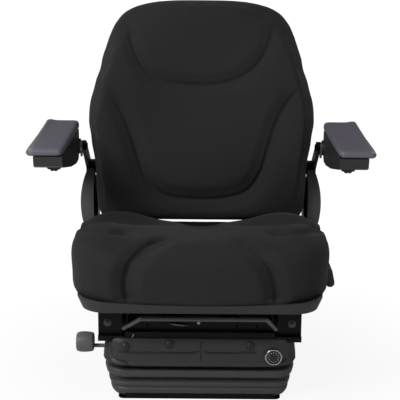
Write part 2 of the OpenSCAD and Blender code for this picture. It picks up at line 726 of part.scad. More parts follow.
module lower_rail() difference() {
    union() {
        difference() {
            block([rail_x - rail_outer, rail_front_y, rail_z],
                [rail_x + rail_outer, rail_front_y + lower_rail_l, rail_lip_z + rail_t]);
            block([rail_x - rail_outer + rail_t, rail_front_y - 1, rail_z + rail_t],
                [rail_x + rail_outer - rail_t, rail_front_y + lower_rail_l + 1, rail_lip_z]);
            block([rail_x - rail_lip, rail_front_y - 1, rail_lip_z - 1],
                [rail_x + rail_lip, rail_front_y + lower_rail_l + 1, rail_lip_z + rail_t + 1]);
        }
        block([rail_x - rail_outer, rail_front_y - rail_t, frame_top_z],
            [rail_x + rail_outer, rail_front_y, rail_lip_z + rail_t + 9]);
    }
    y_rod(rail_front_y - rail_t - 1, rail_front_y + 1, bolt_r + running_fit, rail_x + 5, bolt_z);
}

bolt_r = 3;
bolt_z = rail_z + 9;

module lower_rails() color(black_steel) both_sides() lower_rail();

// Bolt with washer and nut through each rail's front plate
module rail_bolts() color(zinc) both_sides() translate([rail_x + 5, rail_front_y - rail_t, bolt_z])
    rotate([90, 0, 0]) {
        translate([0, 0, -rail_t - bolt_head_h]) cylinder(h = rail_t + bolt_head_h + 10, r = bolt_r);
        cylinder(h = 1.5, r = 8);
        translate([0, 0, 1.5 - touch]) cylinder(h = 5, r = 6, $fn = 6);
        translate([0, 0, -rail_t - bolt_head_h]) cylinder(h = bolt_head_h, r = 5.5, $fn = 6);
    }

module slide_crossplate() color(black_steel) {
    half_w = support_x - 2;
    plate_z = frame_top_z + frame_lip_h + 1;
    translate([0, rail_front_y, 0]) rotate([90, 0, 0]) linear_extrude(height = sheet_t) difference() {
        polygon([[-half_w, plate_z], [half_w, plate_z], [half_w, plate_z + 4], [half_w - 16, plate_z + 22],
            [16 - half_w, plate_z + 22], [-half_w, plate_z + 4]]);
        for (x = [-105, 75, 115]) translate([x, plate_z + 9]) circle(r = 2.2);
    }
    for (x = [-120, 120]) block([x - 9, rail_front_y - sheet_t, frame_top_z + side_gap],
        [x + 9, rail_front_y, plate_z + touch]);
    translate([-10, rail_front_y - sheet_t + touch, plate_z + 16]) rotate([90, 0, 0])
        cylinder(h = 3, r = 3.6, $fn = 6);
}

ball_rows = [[rail_z + rail_t + ball_r + ball_gap], [foot_z + rail_t + ball_r + ball_gap]];
ball_pitch = 80;
ball_front_y = upper_rail_front_y + 32;
ball_count = 3;
cage_half_w = ball_r + 1;

module rail_balls() color(zinc) both_sides()
    for (side = [-1, 1], row = ball_rows, i = [0:ball_count - 1])
        translate([rail_x + side * ball_offset, ball_front_y + i * ball_pitch, row[0]]) sphere(r = ball_r);

// Strip that keeps the balls apart, one for each row
module rail_cages() color(plastic_grey) both_sides() for (side = [-1, 1], row = ball_rows) difference() {
    block([rail_x + side * ball_offset - cage_half_w, ball_front_y - 14, row[0] - 0.6],
        [rail_x + side * ball_offset + cage_half_w, ball_front_y + (ball_count - 1) * ball_pitch + 14, row[0] + 0.6]);
    for (i = [0:ball_count - 1])
        translate([rail_x + side * ball_offset, ball_front_y + i * ball_pitch, row[0] - 1])
            cylinder(h = 2, r = ball_r + ball_gap);
}

// Inverted channel with out-turned feet between the rows of balls
module upper_rail() {
    rear_y = upper_rail_front_y + upper_rail_l;
    difference() {
        block([rail_x - rail_web, upper_rail_front_y, foot_z], [rail_x + rail_web, rear_y, upper_rail_z]);
        block([rail_x - rail_web + rail_t, upper_rail_front_y - 1, foot_z - 1],
            [rail_x + rail_web - rail_t, rear_y + 1, upper_rail_z - rail_t]);
    }
    for (s = [-1, 1]) block([rail_x + (s < 0 ? -rail_foot : rail_web - rail_t), upper_rail_front_y, foot_z],
        [rail_x + (s < 0 ? -rail_web + rail_t : rail_foot), rear_y, foot_z + rail_t]);
}

module upper_rails() color(black_steel) both_sides() upper_rail();

// Seat

// Plan outline of the seat, wide in front and narrow between the hinge arms
module seat_plan(half_w, front, r, inset) {
    translate([-half_w, -front]) rounded_rect([2 * half_w, front + 112], r);
    translate([-hinge_arm_x + inset, 0]) rounded_rect([2 * (hinge_arm_x - inset), seat_rear_y - inset], 12);
}

module seat_pan() color(black_steel) {
    plate_z = pan_top_z - 2;
    translate([0, 0, plate_z]) linear_extrude(height = 2) difference() {
        seat_plan(cushion_tray_w / 2 - 22, cushion_tray_front - 24, 30, 2);
        translate([-70, -110]) rounded_rect([140, 190], 30);
    }
    both_sides() difference() {
        block([rail_x - 18, upper_rail_front_y, upper_rail_z], [rail_x + 18, seat_rear_y - 4, plate_z + touch]);
        block([rail_x - 16, upper_rail_front_y - 1, upper_rail_z + 2], [rail_x + 16, seat_rear_y, plate_z - 2]);
    }
    block([-190, -cushion_tray_front + 50, plate_z - 12], [190, -cushion_tray_front + 52, plate_z + touch]);
    block([-hinge_arm_x, seat_rear_y - 42, upper_rail_z + 1], [hinge_arm_x, seat_rear_y - 40, plate_z + touch]);
    block([-hinge_arm_x, seat_rear_y - 4, upper_rail_z + 1], [hinge_arm_x, seat_rear_y - 2, plate_z + touch]);
    both_sides() difference() {
        block([bail_x - 9, bail_pivot_y - 9, bail_pivot_z - 9], [bail_x - 6.5, bail_pivot_y + 9, plate_z + touch]);
        x_rod(bail_x - 10, bail_x - 5, bail_r + running_fit, bail_pivot_y, bail_pivot_z);
    }
}

bail_x = 150;
bail_r = 4.5;
bail_pivot_y = -112;
bail_pivot_z = rail_z + 20;
bail_bar_z = rail_z + 41;
bail_bend_z = rail_z + 9;
// The elbows stand a little proud of the tube, as pressed bends do
bail_elbow_r = bail_r + 0.25;
bail_bar_half_w = 122;
bail_shift = 7;
bail_front_y = -235;
bail_bend_y = -200;

// Straight tube from point a to point b
module tube_between(a, b, r) {
    d = b - a;
    translate(a) rotate([0, acos(d[2] / norm(d)), atan2(d[1], d[0])]) cylinder(h = norm(d), r = r);
}

module bail_handle() color(black_steel) {
    for (s = [-1, 1]) {
        pivot = [s * bail_x, bail_pivot_y, bail_pivot_z];
        bend = [s * bail_x, bail_bend_y, bail_bend_z];
        corner = [bail_shift + s * bail_bar_half_w, bail_front_y, bail_bar_z];
        for (p = [pivot, bend, corner]) translate(p) sphere(r = bail_elbow_r);
        tube_between(pivot, bend, bail_r);
        tube_between(bend, corner, bail_r);
        x_rod(s > 0 ? bail_x - 12 : -bail_x, s > 0 ? bail_x : 12 - bail_x, bail_r, bail_pivot_y, bail_pivot_z);
    }
    x_rod(bail_shift - bail_bar_half_w, bail_shift + bail_bar_half_w, bail_r, bail_front_y, bail_bar_z);
}

// Small coil spring hooked to the crossplate
module bail_spring() color(zinc) translate([-61, rail_front_y - sheet_t - 3.25, frame_top_z + 24])
    rotate([0, 95, 0]) {
        cylinder(h = 38, r = 1.2);
        translate([0, 0, 8]) coil(22, 3, 0.8);
    }

// Steel side arms that rise from the pan to the recline axis
module hinge_arms() color(black_steel) both_sides() side_plate(hinge_arm_x, hinge_face_x) difference() {
    union() {
        translate([recline_y, recline_z]) circle(r = 26);
        polygon([[seat_rear_y - 78, upper_rail_z + 2], [seat_rear_y + 8, upper_rail_z + 2],
            [recline_y + 26, recline_z], [recline_y - 20, recline_z + 16], [lever_y - 12, lever_z + 10],
            [seat_rear_y - 78, upper_rail_z + 22]]);
    }
    translate([recline_y, recline_z]) circle(r = recline_pin_r + running_fit);
    translate([lever_y, lever_z]) circle(r = lever_pin_r + running_fit);
}

module recline_pins() color(zinc) both_sides() {
    x_rod(hinge_arm_x - 1, plate_x + hinge_t + 1, recline_pin_r, recline_y, recline_z);
    x_rod(hinge_arm_x - 3, hinge_arm_x - side_gap, recline_pin_r + 3, recline_y, recline_z);
    x_rod(plate_x + hinge_t + side_gap, plate_x + hinge_t + 1.2, recline_pin_r + 3, recline_y, recline_z);
}

// Moulded plastic tray whose wall dips at the middle of the front
module cushion_tray() color(plastic_grey) {
    half_w = cushion_tray_w / 2;
    top_z = cushion_tray_z + tray_wall_h + 10;
    difference() {
        union() {
            hull() {
                translate([0, 0, cushion_tray_z]) linear_extrude(height = 1)
                    translate([-half_w + 9, -cushion_tray_front + 7])
                        rounded_rect([2 * half_w - 18, cushion_tray_front + 102], 52, $fn = 32);
                translate([0, 0, top_z - 6]) linear_extrude(height = 6)
                    translate([-half_w, -cushion_tray_front])
                        rounded_rect([2 * half_w, cushion_tray_front + 112], 60, $fn = 32);
            }
            translate([-hinge_arm_x + 2, 20, cushion_tray_z])
                cube([2 * hinge_arm_x - 4, seat_rear_y - 24, tray_wall_h]);
        }
        hull() {
            translate([0, 0, cushion_tray_z + tray_floor_t]) linear_extrude(height = 1)
                translate([-half_w + 13, -cushion_tray_front + 11])
                    rounded_rect([2 * half_w - 26, cushion_tray_front + 94], 49, $fn = 32);
            translate([0, 0, top_z]) linear_extrude(height = 6)
                translate([-half_w + 4, -cushion_tray_front + 4])
                    rounded_rect([2 * half_w - 8, cushion_tray_front + 104], 57, $fn = 32);
        }
        translate([-hinge_arm_x + 6, 0, cushion_tray_z + tray_floor_t])
            cube([2 * hinge_arm_x - 12, seat_rear_y - 8, 60]);
        y_rod(-400, 400, tray_dip_r, 0, cushion_tray_z + tray_wall_h + tray_dip_r, $fn = 96);
    }
}

// Radius of the cut that lets the tray wall rise by about 10 mm at the front corners
tray_dip_r = pow(cushion_tray_w / 2 - 10, 2) / 20;
function rim_z(x) = cushion_tray_z + tray_wall_h
    + min(10, tray_dip_r - sqrt(pow(tray_dip_r, 2) - pow(min(abs(x), cushion_tray_w / 2), 2)));

// Upholstered cushion: height of the top over x, y
cushion_rear_y = seat_rear_y - 10;
cushion_front_y = -cushion_tray_front - 4;
function cushion_top(x, y) = let (
    u = abs(x),
    rear = smooth(y, -40, 50) * (1 - smooth(y, 78, 125)),
    channel = 1 - smooth(u, 14, 62),
    crest = cushion_z + cushion_h - smooth(y, -150, 125) * 52 - smooth(-y, 195, 262) * 8 + 8 * rear - 12 * channel * rear,
    lobe = 24 * bump(u, 172, 62) * smooth(y, -40, 40) * (1 - smooth(y, 80, 130)),
    thigh = 6 * smooth(u, 150, 180) * (1 - smooth(y, -80, 0)),
    groove = 7 * bump(u, 143, 14) * (1 - smooth(y, -150, -100)),
    across = 6 * bump(y, -28 + u * 0.12, 20) * smooth(u, 60, 120))
    crest + lobe + thigh - groove - across;

// Half width of the cushion at y, narrow between the hinge arms
function cushion_half_w(y) = mix(cushion_w / 2, hinge_arm_x - 7, smooth(y, 60, 118));

cushion_steps = 60;
crown_share = 0.885;
function cushion_point(a, share) = let (
    half_l = (cushion_rear_y - cushion_front_y) / 2,
    mid_y = (cushion_rear_y + cushion_front_y) / 2,
    c = cos(a), s = sin(a),
    f = pow(pow(abs(c), 4.5) + pow(abs(s), 4.5), -1 / 4.5),
    y = mid_y + half_l * share * f * s)
    [cushion_half_w(y) * share * f * c, y];

module seat_cushion() color(fabric_black) {
    top_rings = [for (k = [1:9]) let (share = k == 1 ? 0.05 : crown_share * pow((k - 1) / 8, 0.85))
        [for (i = [0:cushion_steps - 1]) let (p = cushion_point(360 * i / cushion_steps, share))
            [p[0], p[1], cushion_top(p[0], p[1])]]];
    roll_rings = [for (k = [1:6]) let (b = 15 * k)
        [for (i = [0:cushion_steps - 1]) let (
            q = cushion_point(360 * i / cushion_steps, crown_share),
            p = cushion_point(360 * i / cushion_steps, mix(crown_share, 1, sin(b))),
            top = cushion_top(q[0], q[1]),
            belly = mix(cushion_z + 88, cushion_z + 44, smooth(p[1], 40, 130)))
            [p[0], p[1], mix(belly, top, cos(b))]]];
    side_rings = [for (k = [1:4]) [for (i = [0:cushion_steps - 1]) let (
            share = [0.992, 0.98, 0.908, 0.862][k - 1],
            p = cushion_point(360 * i / cushion_steps, share),
            belly = mix(88, 44, smooth(p[1], 40, 130)),
            rim = rim_z(p[0]) - cushion_z + 1,
            height = [max(0.68 * belly, rim + 4), rim + 1, rim, 0][k - 1])
            [p[0], p[1], cushion_z + height]]];
    rings = concat(top_rings, roll_rings, side_rings);
    skin([for (k = [len(rings) - 1:-1:0]) rings[k]]);
}

// Recline lever on the right hinge arm
lever_y = 150;
lever_z = 232;
lever_pin_r = 4;
grip_x = 262;
grip_front_y = -62;

module recline_lever() color(black_steel) difference() {
    union() {
        x_rod(hinge_arm_x - 2, grip_x + 5, lever_pin_r, lever_y, lever_z);
        side_plate(grip_x, grip_x + 5) union() {
            translate([lever_y, lever_z]) circle(r = 11);
            polygon([[lever_y, lever_z + 11], [lever_y, lever_z - 11], [60, 216], [-10, 212], [-10, 226], [60, 230]]);
        }
    }
}

// Rounded paddle grip that leans in at its top
module recline_grip() color(plastic_dark) translate([grip_x + 2.5, 0, 218]) difference() {
    hull() for (y = [grip_front_y + 12, 38], p = [[9, -8], [4, 15]])
        translate([p[0], y, p[1]]) sphere(r = 9.5, $fn = 20);
    block([-2.9, -30, -6.4], [2.9, 60, 12.4]);
}

// Backrest, in its leaning frame

module leaning() translate([0, back_foot_y, back_foot_z]) rotate([-back_lean, 0, 0]) children();

// Half width of the backrest at height s
back_stations = [[-9, 223], [10, 231], [24, 236], [110, 239], [170, 249], [215, 256], [249, 254], [283, 245],
    [345, 227], [415, 208.5], [445, 190], [457, 179], [470, 158], [480, 118], [486, 64]];
function back_width(s, i = 0) = let (a = back_stations[i], b = back_stations[i + 1])
    (s <= b[0] || i == len(back_stations) - 2) ? mix(a[1], b[1], smooth(s, a[0], b[0])) : back_width(s, i + 1);

// Depth of the front face at x, s: side bolsters, lumbar swell and the panel grooves
function back_front(x, s) = let (
    u = abs(x),
    bolster = 26 * smooth(u, 105, 165) * smooth(s, 20, 120) * (1 - smooth(s, 300, 420)),
    lumbar = 14 * bump(s, 120, 95) * (1 - smooth(u, 60, 150)),
    arch = 9 * bump(norm([x / 1.35, s - 155]), 108, 13) * (1 - smooth(s, 250, 300)),
    head = 8 * bump(s, 345 + 95 * pow(u / 130, 3), 16) * (1 - smooth(u, 150, 190)))
    back_front_t - bolster - lumbar + arch + head;

back_ring_steps = 22;
// Closed section at height s: across the front in a curve, round the edges and flat behind
function back_ring(s, thin) = let (
    w = back_width(min(s, 485)) * (thin < 1 ? mix(0.97, 1, thin) : 1),
    front = [for (i = [0:back_ring_steps]) let (
        a = -90 + 180 * i / back_ring_steps,
        x = w * sin(a),
        share = pow(cos(a), 0.55))
        [x, mix(back_rear_t - 22, back_front(x, s), share * thin), s]],
    rear = [for (i = [1:9]) let (a = 90 - 18 * i, x = w * (abs(sin(a)) < 0.01 ? 0 : sign(sin(a)) * pow(abs(sin(a)), 0.6)))
        [x, mix(back_rear_t - 22, back_rear_t, pow(cos(a), 0.5) * min(1, thin * 1.5)), s]])
    concat(front, rear);

module backrest_cushion() color(fabric_black) leaning() {
    thick = [for (k = [0:4]) [[-9, -3, 7, 20, 34][k], [0.45, 0.72, 0.88, 0.97, 1][k]]];
    middle = [for (k = [1:16]) [34 + 24.8 * k, 1]];
    top = [for (k = [0:4]) [back_h - [33, 21, 12, 5, 0][k], [0.97, 0.9, 0.78, 0.6, 0.3][k]]];
    skin([for (p = concat(thick, middle, top)) back_ring(p[0], p[1])]);
}

// Moulded rear shell behind the foam, open towards it
function shell_outline(inset, grow) = concat(
    [for (s = [34:24:418]) [back_width(s) - inset, s]],
    [for (a = [10:16:90]) [(back_width(418) - inset) * cos(a * 0.98), 418 + (back_h - 418 - inset + grow) * sin(a)]]);

module shell_plan(inset) {
    right = shell_outline(inset, 0);
    polygon(concat([[back_width(34) - inset - 14, 20 + inset]], right,
        [for (i = [len(right) - 1:-1:0]) [-right[i][0], right[i][1]]], [[14 + inset - back_width(34), 20 + inset]]));
}

module backrest_shell() color(plastic_dark) leaning() rotate([-90, 0, 0]) mirror([0, 1, 0]) difference() {
    union() {
        translate([0, 0, back_rear_t + soft_gap]) linear_extrude(height = 14) shell_plan(6);
        hull() {
            translate([0, 0, back_rear_t + 14]) linear_extrude(height = 1) shell_plan(6);
            translate([0, 0, shell_rear_t - 1]) linear_extrude(height = 1) shell_plan(24);
        }
    }
    translate([0, 0, back_rear_t - 1]) linear_extrude(height = 14) shell_plan(6 + shell_wall);
    hull() {
        translate([0, 0, back_rear_t + 12]) linear_extrude(height = 1) shell_plan(6 + shell_wall);
        translate([0, 0, shell_rear_t - 1 - shell_wall]) linear_extrude(height = 1) shell_plan(24 + shell_wall);
    }
    for (s = [-1, 1]) translate([s * 228 - 32, 20, 0]) cube([64, 106, 80]);
}

// Bent tube loop in the shell, with cross tubes and flats for the recline plates
module backrest_frame() color(black_steel) {
    half_w = 176;
    leaning() {
        for (s = [-1, 1]) translate([s * half_w, frame_t - 1, 50]) cylinder(h = 350, r = frame_tube_r);
        translate([-half_w, frame_t - 1, 400]) rotate([0, 90, 0]) cylinder(h = 2 * half_w, r = frame_tube_r);
        for (s = [-1, 1]) translate([s * half_w, frame_t - 1, 400]) sphere(r = frame_tube_r);
        translate([-plate_x, frame_t - 1, 60]) rotate([0, 90, 0]) cylinder(h = 2 * plate_x, r = 8);
    }
}

// Side plates from the recline axis up to the frame
module recline_plates() color(black_steel) both_sides() side_plate(plate_x, plate_x + hinge_t) difference() {
    union() {
        translate([recline_y, recline_z]) circle(r = 26);
        polygon([[recline_y - 24, recline_z + 8], [recline_y + 26, recline_z], [236, 330], [252, 416], [218, 416], [196, 340]]);
    }
    translate([recline_y, recline_z]) circle(r = recline_pin_r + running_fit);
}

// Leaf-shaped moulded covers over the recline plates
module side_cover() {
    leaf_r = 96;
    leaf = [recline_y + 10, 322];
    difference() {
        intersection() {
            side_plate(244, 277) intersection() {
                translate([leaf[0] - 54, leaf[1] - 4]) circle(r = leaf_r);
                translate([leaf[0] + 58, leaf[1] + 4]) circle(r = leaf_r);
            }
            translate([277 - 190, leaf[0], leaf[1]]) sphere(r = 190, $fn = 96);
        }
        intersection() {
            side_plate(243, 274) intersection() {
                translate([leaf[0] - 54, leaf[1] - 4]) circle(r = leaf_r - 3);
                translate([leaf[0] + 58, leaf[1] + 4]) circle(r = leaf_r - 3);
            }
            translate([274 - 190, leaf[0], leaf[1]]) sphere(r = 190, $fn = 96);
        }
    }
}

module side_cover_left() color(plastic_grey) mirror([1, 0, 0]) side_cover();
module side_cover_right() color(plastic_grey) side_cover();

// Armrests

// Bent steel bracket from the recline plate up to the armrest pivot, with the pivot bolt
module armrest_bracket() {
    side_plate(bracket_bar_x, bracket_bar_x + bracket_bar_t) difference() {
        polygon([[226, 384], [250, 384], [252, 412], [arm_pivot_y + 16, arm_pivot_z + 6],
            [arm_pivot_y + 4, arm_pivot_z + 13], [arm_pivot_y - 10, arm_pivot_z + 8],
            [arm_pivot_y - 12, arm_pivot_z - 6], [arm_pivot_y - 2, arm_pivot_z - 13], [222, 398]]);
        translate([arm_pivot_y, arm_pivot_z]) circle(r = arm_pin_r - touch);
    }
    block([plate_x + hinge_t + side_gap, 226, 384], [bracket_bar_x + touch, 250, 412]);
    x_rod(bracket_bar_x - 3, arm_base_x + 12, arm_pin_r, arm_pivot_y, arm_pivot_z);
    x_rod(bracket_bar_x - 3, bracket_bar_x, arm_pin_r + 3, arm_pivot_y, arm_pivot_z);
}

module armrest_bracket_left() color(black_steel) mirror([1, 0, 0]) armrest_bracket();
module armrest_bracket_right() color(black_steel) armrest_bracket();

// Stop plate on the pivot bolt, with the finger that the wheel's screw pushes on
module armrest_stop() side_plate(stop_x, stop_x + stop_t) difference() {
    union() {
        translate([arm_pivot_y, arm_pivot_z]) circle(r = 13);
        translate([arm_pivot_y - 9, arm_pivot_z - 22]) square([12, 22]);
    }
    translate([arm_pivot_y, arm_pivot_z]) circle(r = arm_pin_r + running_fit);
}

module armrest_stop_left() color(zinc) mirror([1, 0, 0]) armrest_stop();
module armrest_stop_right() color(zinc) armrest_stop();

// Side outline of the armrest body, deepest near its pivot
function body_outline() = [
    [pad_front_y + 220, 494.5], [pad_front_y + 150, 492], [pad_front_y + 40, 490], [pad_front_y + 4, 489.5], [pad_front_y + 8, 470], [pad_front_y + 22, 464], [pad_front_y + 70, 455],
    [pad_front_y + 150, 440], [pad_front_y + 240, 429], [pad_front_y + 280, 430],
    [pad_front_y + 296, 444], [pad_front_y + pad_l - 1, 462], [pad_front_y + pad_l - 4, 496.5],
    [pad_front_y + 280, 496.5]];

module armrest_body() difference() {
    union() {
        side_plate(arm_base_x + 4, arm_base_x + pad_w - 10) polygon(body_outline());
        x_rod(arm_base_x, arm_base_x + 5, 17, arm_pivot_y, arm_pivot_z);
    }
    x_rod(arm_base_x - 1, arm_base_x + 14, arm_pin_r + running_fit, arm_pivot_y, arm_pivot_z);
    block([wheel_x - wheel_d / 2 - 2, wheel_y - wheel_w / 2 - 1, 440],
        [wheel_x + wheel_d / 2 + 2, wheel_y + wheel_w / 2 + 1, wheel_z + wheel_d / 2 + 0.3]);
}

wheel_y = pad_front_y + 44;
wheel_z = 471;
module armrest_body_left() color(plastic_dark) mirror([1, 0, 0]) armrest_body();
module armrest_body_right() color(plastic_dark) armrest_body();

// Soft top pad with a raised rear end; the ring lies across the arm at each station along y
function pad_ring(y, w, low, high) = let (mid_x = pad_x + pad_w / 2, r = min(8, (high - low) / 2 - 0.1))
    [for (p = rounded_ring(w / 2, (high - low) / 2, r, 0, 4)) [mid_x - p[0], y, (low + high) / 2 + p[1]]];

module armrest_pad() skin([
    pad_ring(pad_front_y, pad_w - 16, 494, 502), pad_ring(pad_front_y + 3, pad_w - 8, 491.5, 504.5),
    pad_ring(pad_front_y + 12, pad_w - 2, 490.5, 506), pad_ring(pad_front_y + 40, pad_w, 490.5, 507),
    pad_ring(pad_front_y + 150, pad_w, 492.5, 510), pad_ring(pad_front_y + 220, pad_w, 495, 514),
    pad_ring(pad_front_y + pad_l - 20, pad_w, 497, 518), pad_ring(pad_front_y + pad_l - 5, pad_w - 4, 498, 516.5),
    pad_ring(pad_front_y + pad_l, pad_w - 14, 500, 512)]);

module armrest_pad_left() color(pad_grey) mirror([1, 0, 0]) armrest_pad();
module armrest_pad_right() color(pad_grey) armrest_pad();

// Thumb wheel with grip notches on a screw that runs back to the stop
module armrest_wheel() difference() {
    union() {
        y_rod(wheel_y - wheel_w / 2, wheel_y + wheel_w / 2, wheel_d / 2, wheel_x, wheel_z);
    }
    for (a = [0:30:330]) translate([wheel_x, 0, wheel_z]) rotate([0, a, 0])
        y_rod(wheel_y - wheel_w, wheel_y + wheel_w, 2.2, wheel_d / 2 + 0.6, 0);
}

module armrest_wheel_left() color(plastic_grey) mirror([1, 0, 0]) armrest_wheel();
module armrest_wheel_right() color(plastic_grey) armrest_wheel();

base_tray();
lower_pivot_shaft();
bump_stops();
bellows_folds();
bellows_apron();
bellows_plugs();
dial_bezel();
dial_face();
outer_scissor_frame();
centre_pins();
inner_scissor_frame();
lower_roller_axle();
lower_rollers();
upper_roller_axle();
upper_rollers();
upper_frame();
upper_pivot_shaft();
tension_springs();
spring_anchor();
tension_spindle();
weight_knob();
damper_cylinder();
damper_rod();
lower_rails();
slide_crossplate();
rail_bolts();
rail_balls();
rail_cages();
upper_rails();
seat_pan();
hinge_arms();
cushion_tray();
seat_cushion();
recline_pins();
bail_handle();
bail_spring();
recline_lever();
recline_grip();
backrest_frame();
recline_plates();
backrest_cushion();
backrest_shell();
side_cover_left();
side_cover_right();
armrest_bracket_left();
armrest_bracket_right();
armrest_stop_left();
armrest_stop_right();
armrest_body_left();
armrest_body_right();
armrest_pad_left();
armrest_pad_right();
armrest_wheel_left();
armrest_wheel_right();
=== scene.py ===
# %% [markdown]
# # Tractor suspension seat
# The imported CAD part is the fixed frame. This scene adds the finishes, the upholstery, the rubber
# and the light. Everything is in metres, in the frame of the CAD: the seat faces -Y and +Z is up.

# %%
# Frame
import json
import math

import bmesh
import bpy
import numpy as np
from mathutils import Matrix, Vector
from mathutils.bvhtree import BVHTree
from mathutils.kdtree import KDTree


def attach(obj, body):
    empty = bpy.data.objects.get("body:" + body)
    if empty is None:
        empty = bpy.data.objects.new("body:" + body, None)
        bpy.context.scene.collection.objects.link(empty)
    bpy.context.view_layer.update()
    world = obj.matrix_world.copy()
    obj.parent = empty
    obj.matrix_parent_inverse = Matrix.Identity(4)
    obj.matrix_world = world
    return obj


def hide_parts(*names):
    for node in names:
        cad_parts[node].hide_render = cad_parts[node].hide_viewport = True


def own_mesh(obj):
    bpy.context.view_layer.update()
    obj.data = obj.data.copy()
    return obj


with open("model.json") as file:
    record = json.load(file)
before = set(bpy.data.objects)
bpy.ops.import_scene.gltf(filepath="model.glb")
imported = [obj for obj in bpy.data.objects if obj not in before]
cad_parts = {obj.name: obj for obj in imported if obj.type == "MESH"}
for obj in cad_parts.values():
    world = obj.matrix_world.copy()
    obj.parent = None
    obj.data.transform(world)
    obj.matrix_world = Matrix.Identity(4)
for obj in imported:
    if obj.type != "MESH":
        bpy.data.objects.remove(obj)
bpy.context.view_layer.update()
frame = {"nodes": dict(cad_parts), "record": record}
nodes = frame["nodes"]
scene = bpy.context.scene
MM = 0.001

# %% [markdown]
# The camera stands where the perspective of the photograph puts it: a long lens from the front,
# a little above the backrest. pixel_ray gives the line of sight through one place of the picture,
# so that a seam can be laid on the upholstery where the picture shows it.

# %%
# Camera
CAMERA_PLACE = Vector((0, -2.160, 0.8893))
CAMERA_TILT = math.radians(76.6)
CAMERA_ROLL = math.radians(0.45)
LENS = 94.5
SENSOR = 36
PICTURE = 400
CENTRE_SHIFT = 0.8

camera_data = bpy.data.cameras.new("camera")
camera_data.lens = LENS
camera_data.sensor_width = SENSOR
camera_data.shift_x = -CENTRE_SHIFT / PICTURE
camera = bpy.data.objects.new("camera", camera_data)
camera.location = CAMERA_PLACE
camera_turn = Matrix.Rotation(CAMERA_TILT, 3, "X") @ Matrix.Rotation(CAMERA_ROLL, 3, "Z")
camera.rotation_euler = camera_turn.to_euler()
scene.collection.objects.link(camera)
scene.camera = camera


def pixel_ray(u, v):
    """Direction from the camera through the picture at u, v."""
    focal = LENS / SENSOR * PICTURE
    half = PICTURE / 2
    return (camera_turn @ Vector(((u - half - CENTRE_SHIFT) / focal, (half - v) / focal, -1))).normalized()


# %% [markdown]
# Every finish is one node material. A colour is written as the hex value seen on the real piece.

# %%
# Small helpers for materials
def linear(hex_colour):
    """sRGB hex to the linear colour that the shader takes."""
    parts = [int(hex_colour[i:i + 2], 16) / 255 for i in (1, 3, 5)]
    return [p / 12.92 if p <= 0.04045 else ((p + 0.055) / 1.055) ** 2.4 for p in parts] + [1]


def add_node(tree, kind, **values):
    """New shader node with its properties, or its inputs by name, set."""
    node = tree.nodes.new("ShaderNode" + kind)
    for key, value in values.items():
        if hasattr(node, key):
            setattr(node, key, value)
        else:
            node.inputs[key.replace("_", " ")].default_value = value
    return node


def finish_material(name, colour, roughness, metallic=0.0, sheen=0.0, layers=(), coat=0.0, edge=0.0,
                    shine=0.5):
    """Principled material. Each layer is (pattern scale in mm, bump height in mm, roughness swing).

    edge is the radius in mm at which a hard corner catches the light."""
    material = bpy.data.materials.new(name)
    material.use_nodes = True
    tree = material.node_tree
    shader = tree.nodes["Principled BSDF"]
    shader.inputs["Base Color"].default_value = linear(colour)
    shader.inputs["Roughness"].default_value = roughness
    shader.inputs["Metallic"].default_value = metallic
    shader.inputs["Sheen Weight"].default_value = sheen
    shader.inputs["Sheen Roughness"].default_value = 0.5
    shader.inputs["Coat Weight"].default_value = coat
    shader.inputs["Specular IOR Level"].default_value = shine
    place = add_node(tree, "TexCoord")
    last = add_node(tree, "Bevel", samples=4, Radius=edge * MM) if edge else None
    for size, height, swing in layers:
        noise = add_node(tree, "TexNoise", Scale=1 / (size * MM), Detail=3.0)
        tree.links.new(place.outputs["Object"], noise.inputs["Vector"])
        bump = add_node(tree, "Bump", Strength=1.0, Distance=height * MM)
        tree.links.new(noise.outputs["Fac"], bump.inputs["Height"])
        if last:
            tree.links.new(last.outputs["Normal"], bump.inputs["Normal"])
        last = bump
        if swing:
            spread = add_node(tree, "MapRange", To_Min=roughness - swing, To_Max=roughness + swing)
            tree.links.new(noise.outputs["Fac"], spread.inputs["Value"])
            tree.links.new(spread.outputs["Result"], shader.inputs["Roughness"])
    if last:
        tree.links.new(last.outputs["Normal"], shader.inputs["Normal"])
    return material


# scale of a wave texture whose bands lie one unit apart
WAVE_SCALE = 0.314


def woven_material(name, colour, thread):
    """Upholstery cloth: two crossed sets of threads over a faint mottle of the pile."""
    material = finish_material(name, colour, 0.88, sheen=0.04, layers=((14, 0.12, 0),))
    tree = material.node_tree
    shader = tree.nodes["Principled BSDF"]
    place = tree.nodes["Texture Coordinate"]
    weave = None
    for direction in ("X", "Z"):
        wave = add_node(tree, "TexWave", bands_direction=direction, Distortion=1.5,
                        Scale=WAVE_SCALE / (thread * MM))
        tree.links.new(place.outputs["Object"], wave.inputs["Vector"])
        if weave:
            both = add_node(tree, "Math", operation="MULTIPLY")
            tree.links.new(weave.outputs["Fac"], both.inputs[0])
            tree.links.new(wave.outputs["Fac"], both.inputs[1])
        weave = wave
    bump = add_node(tree, "Bump", Strength=0.5, Distance=0.25 * MM)
    tree.links.new(both.outputs["Value"], bump.inputs["Height"])
    old = shader.inputs["Normal"].links[0].from_socket
    tree.links.new(old, bump.inputs["Normal"])
    tree.links.new(bump.outputs["Normal"], shader.inputs["Normal"])
    return material


# %% [markdown]
# The finishes: one for each material slot of the record.

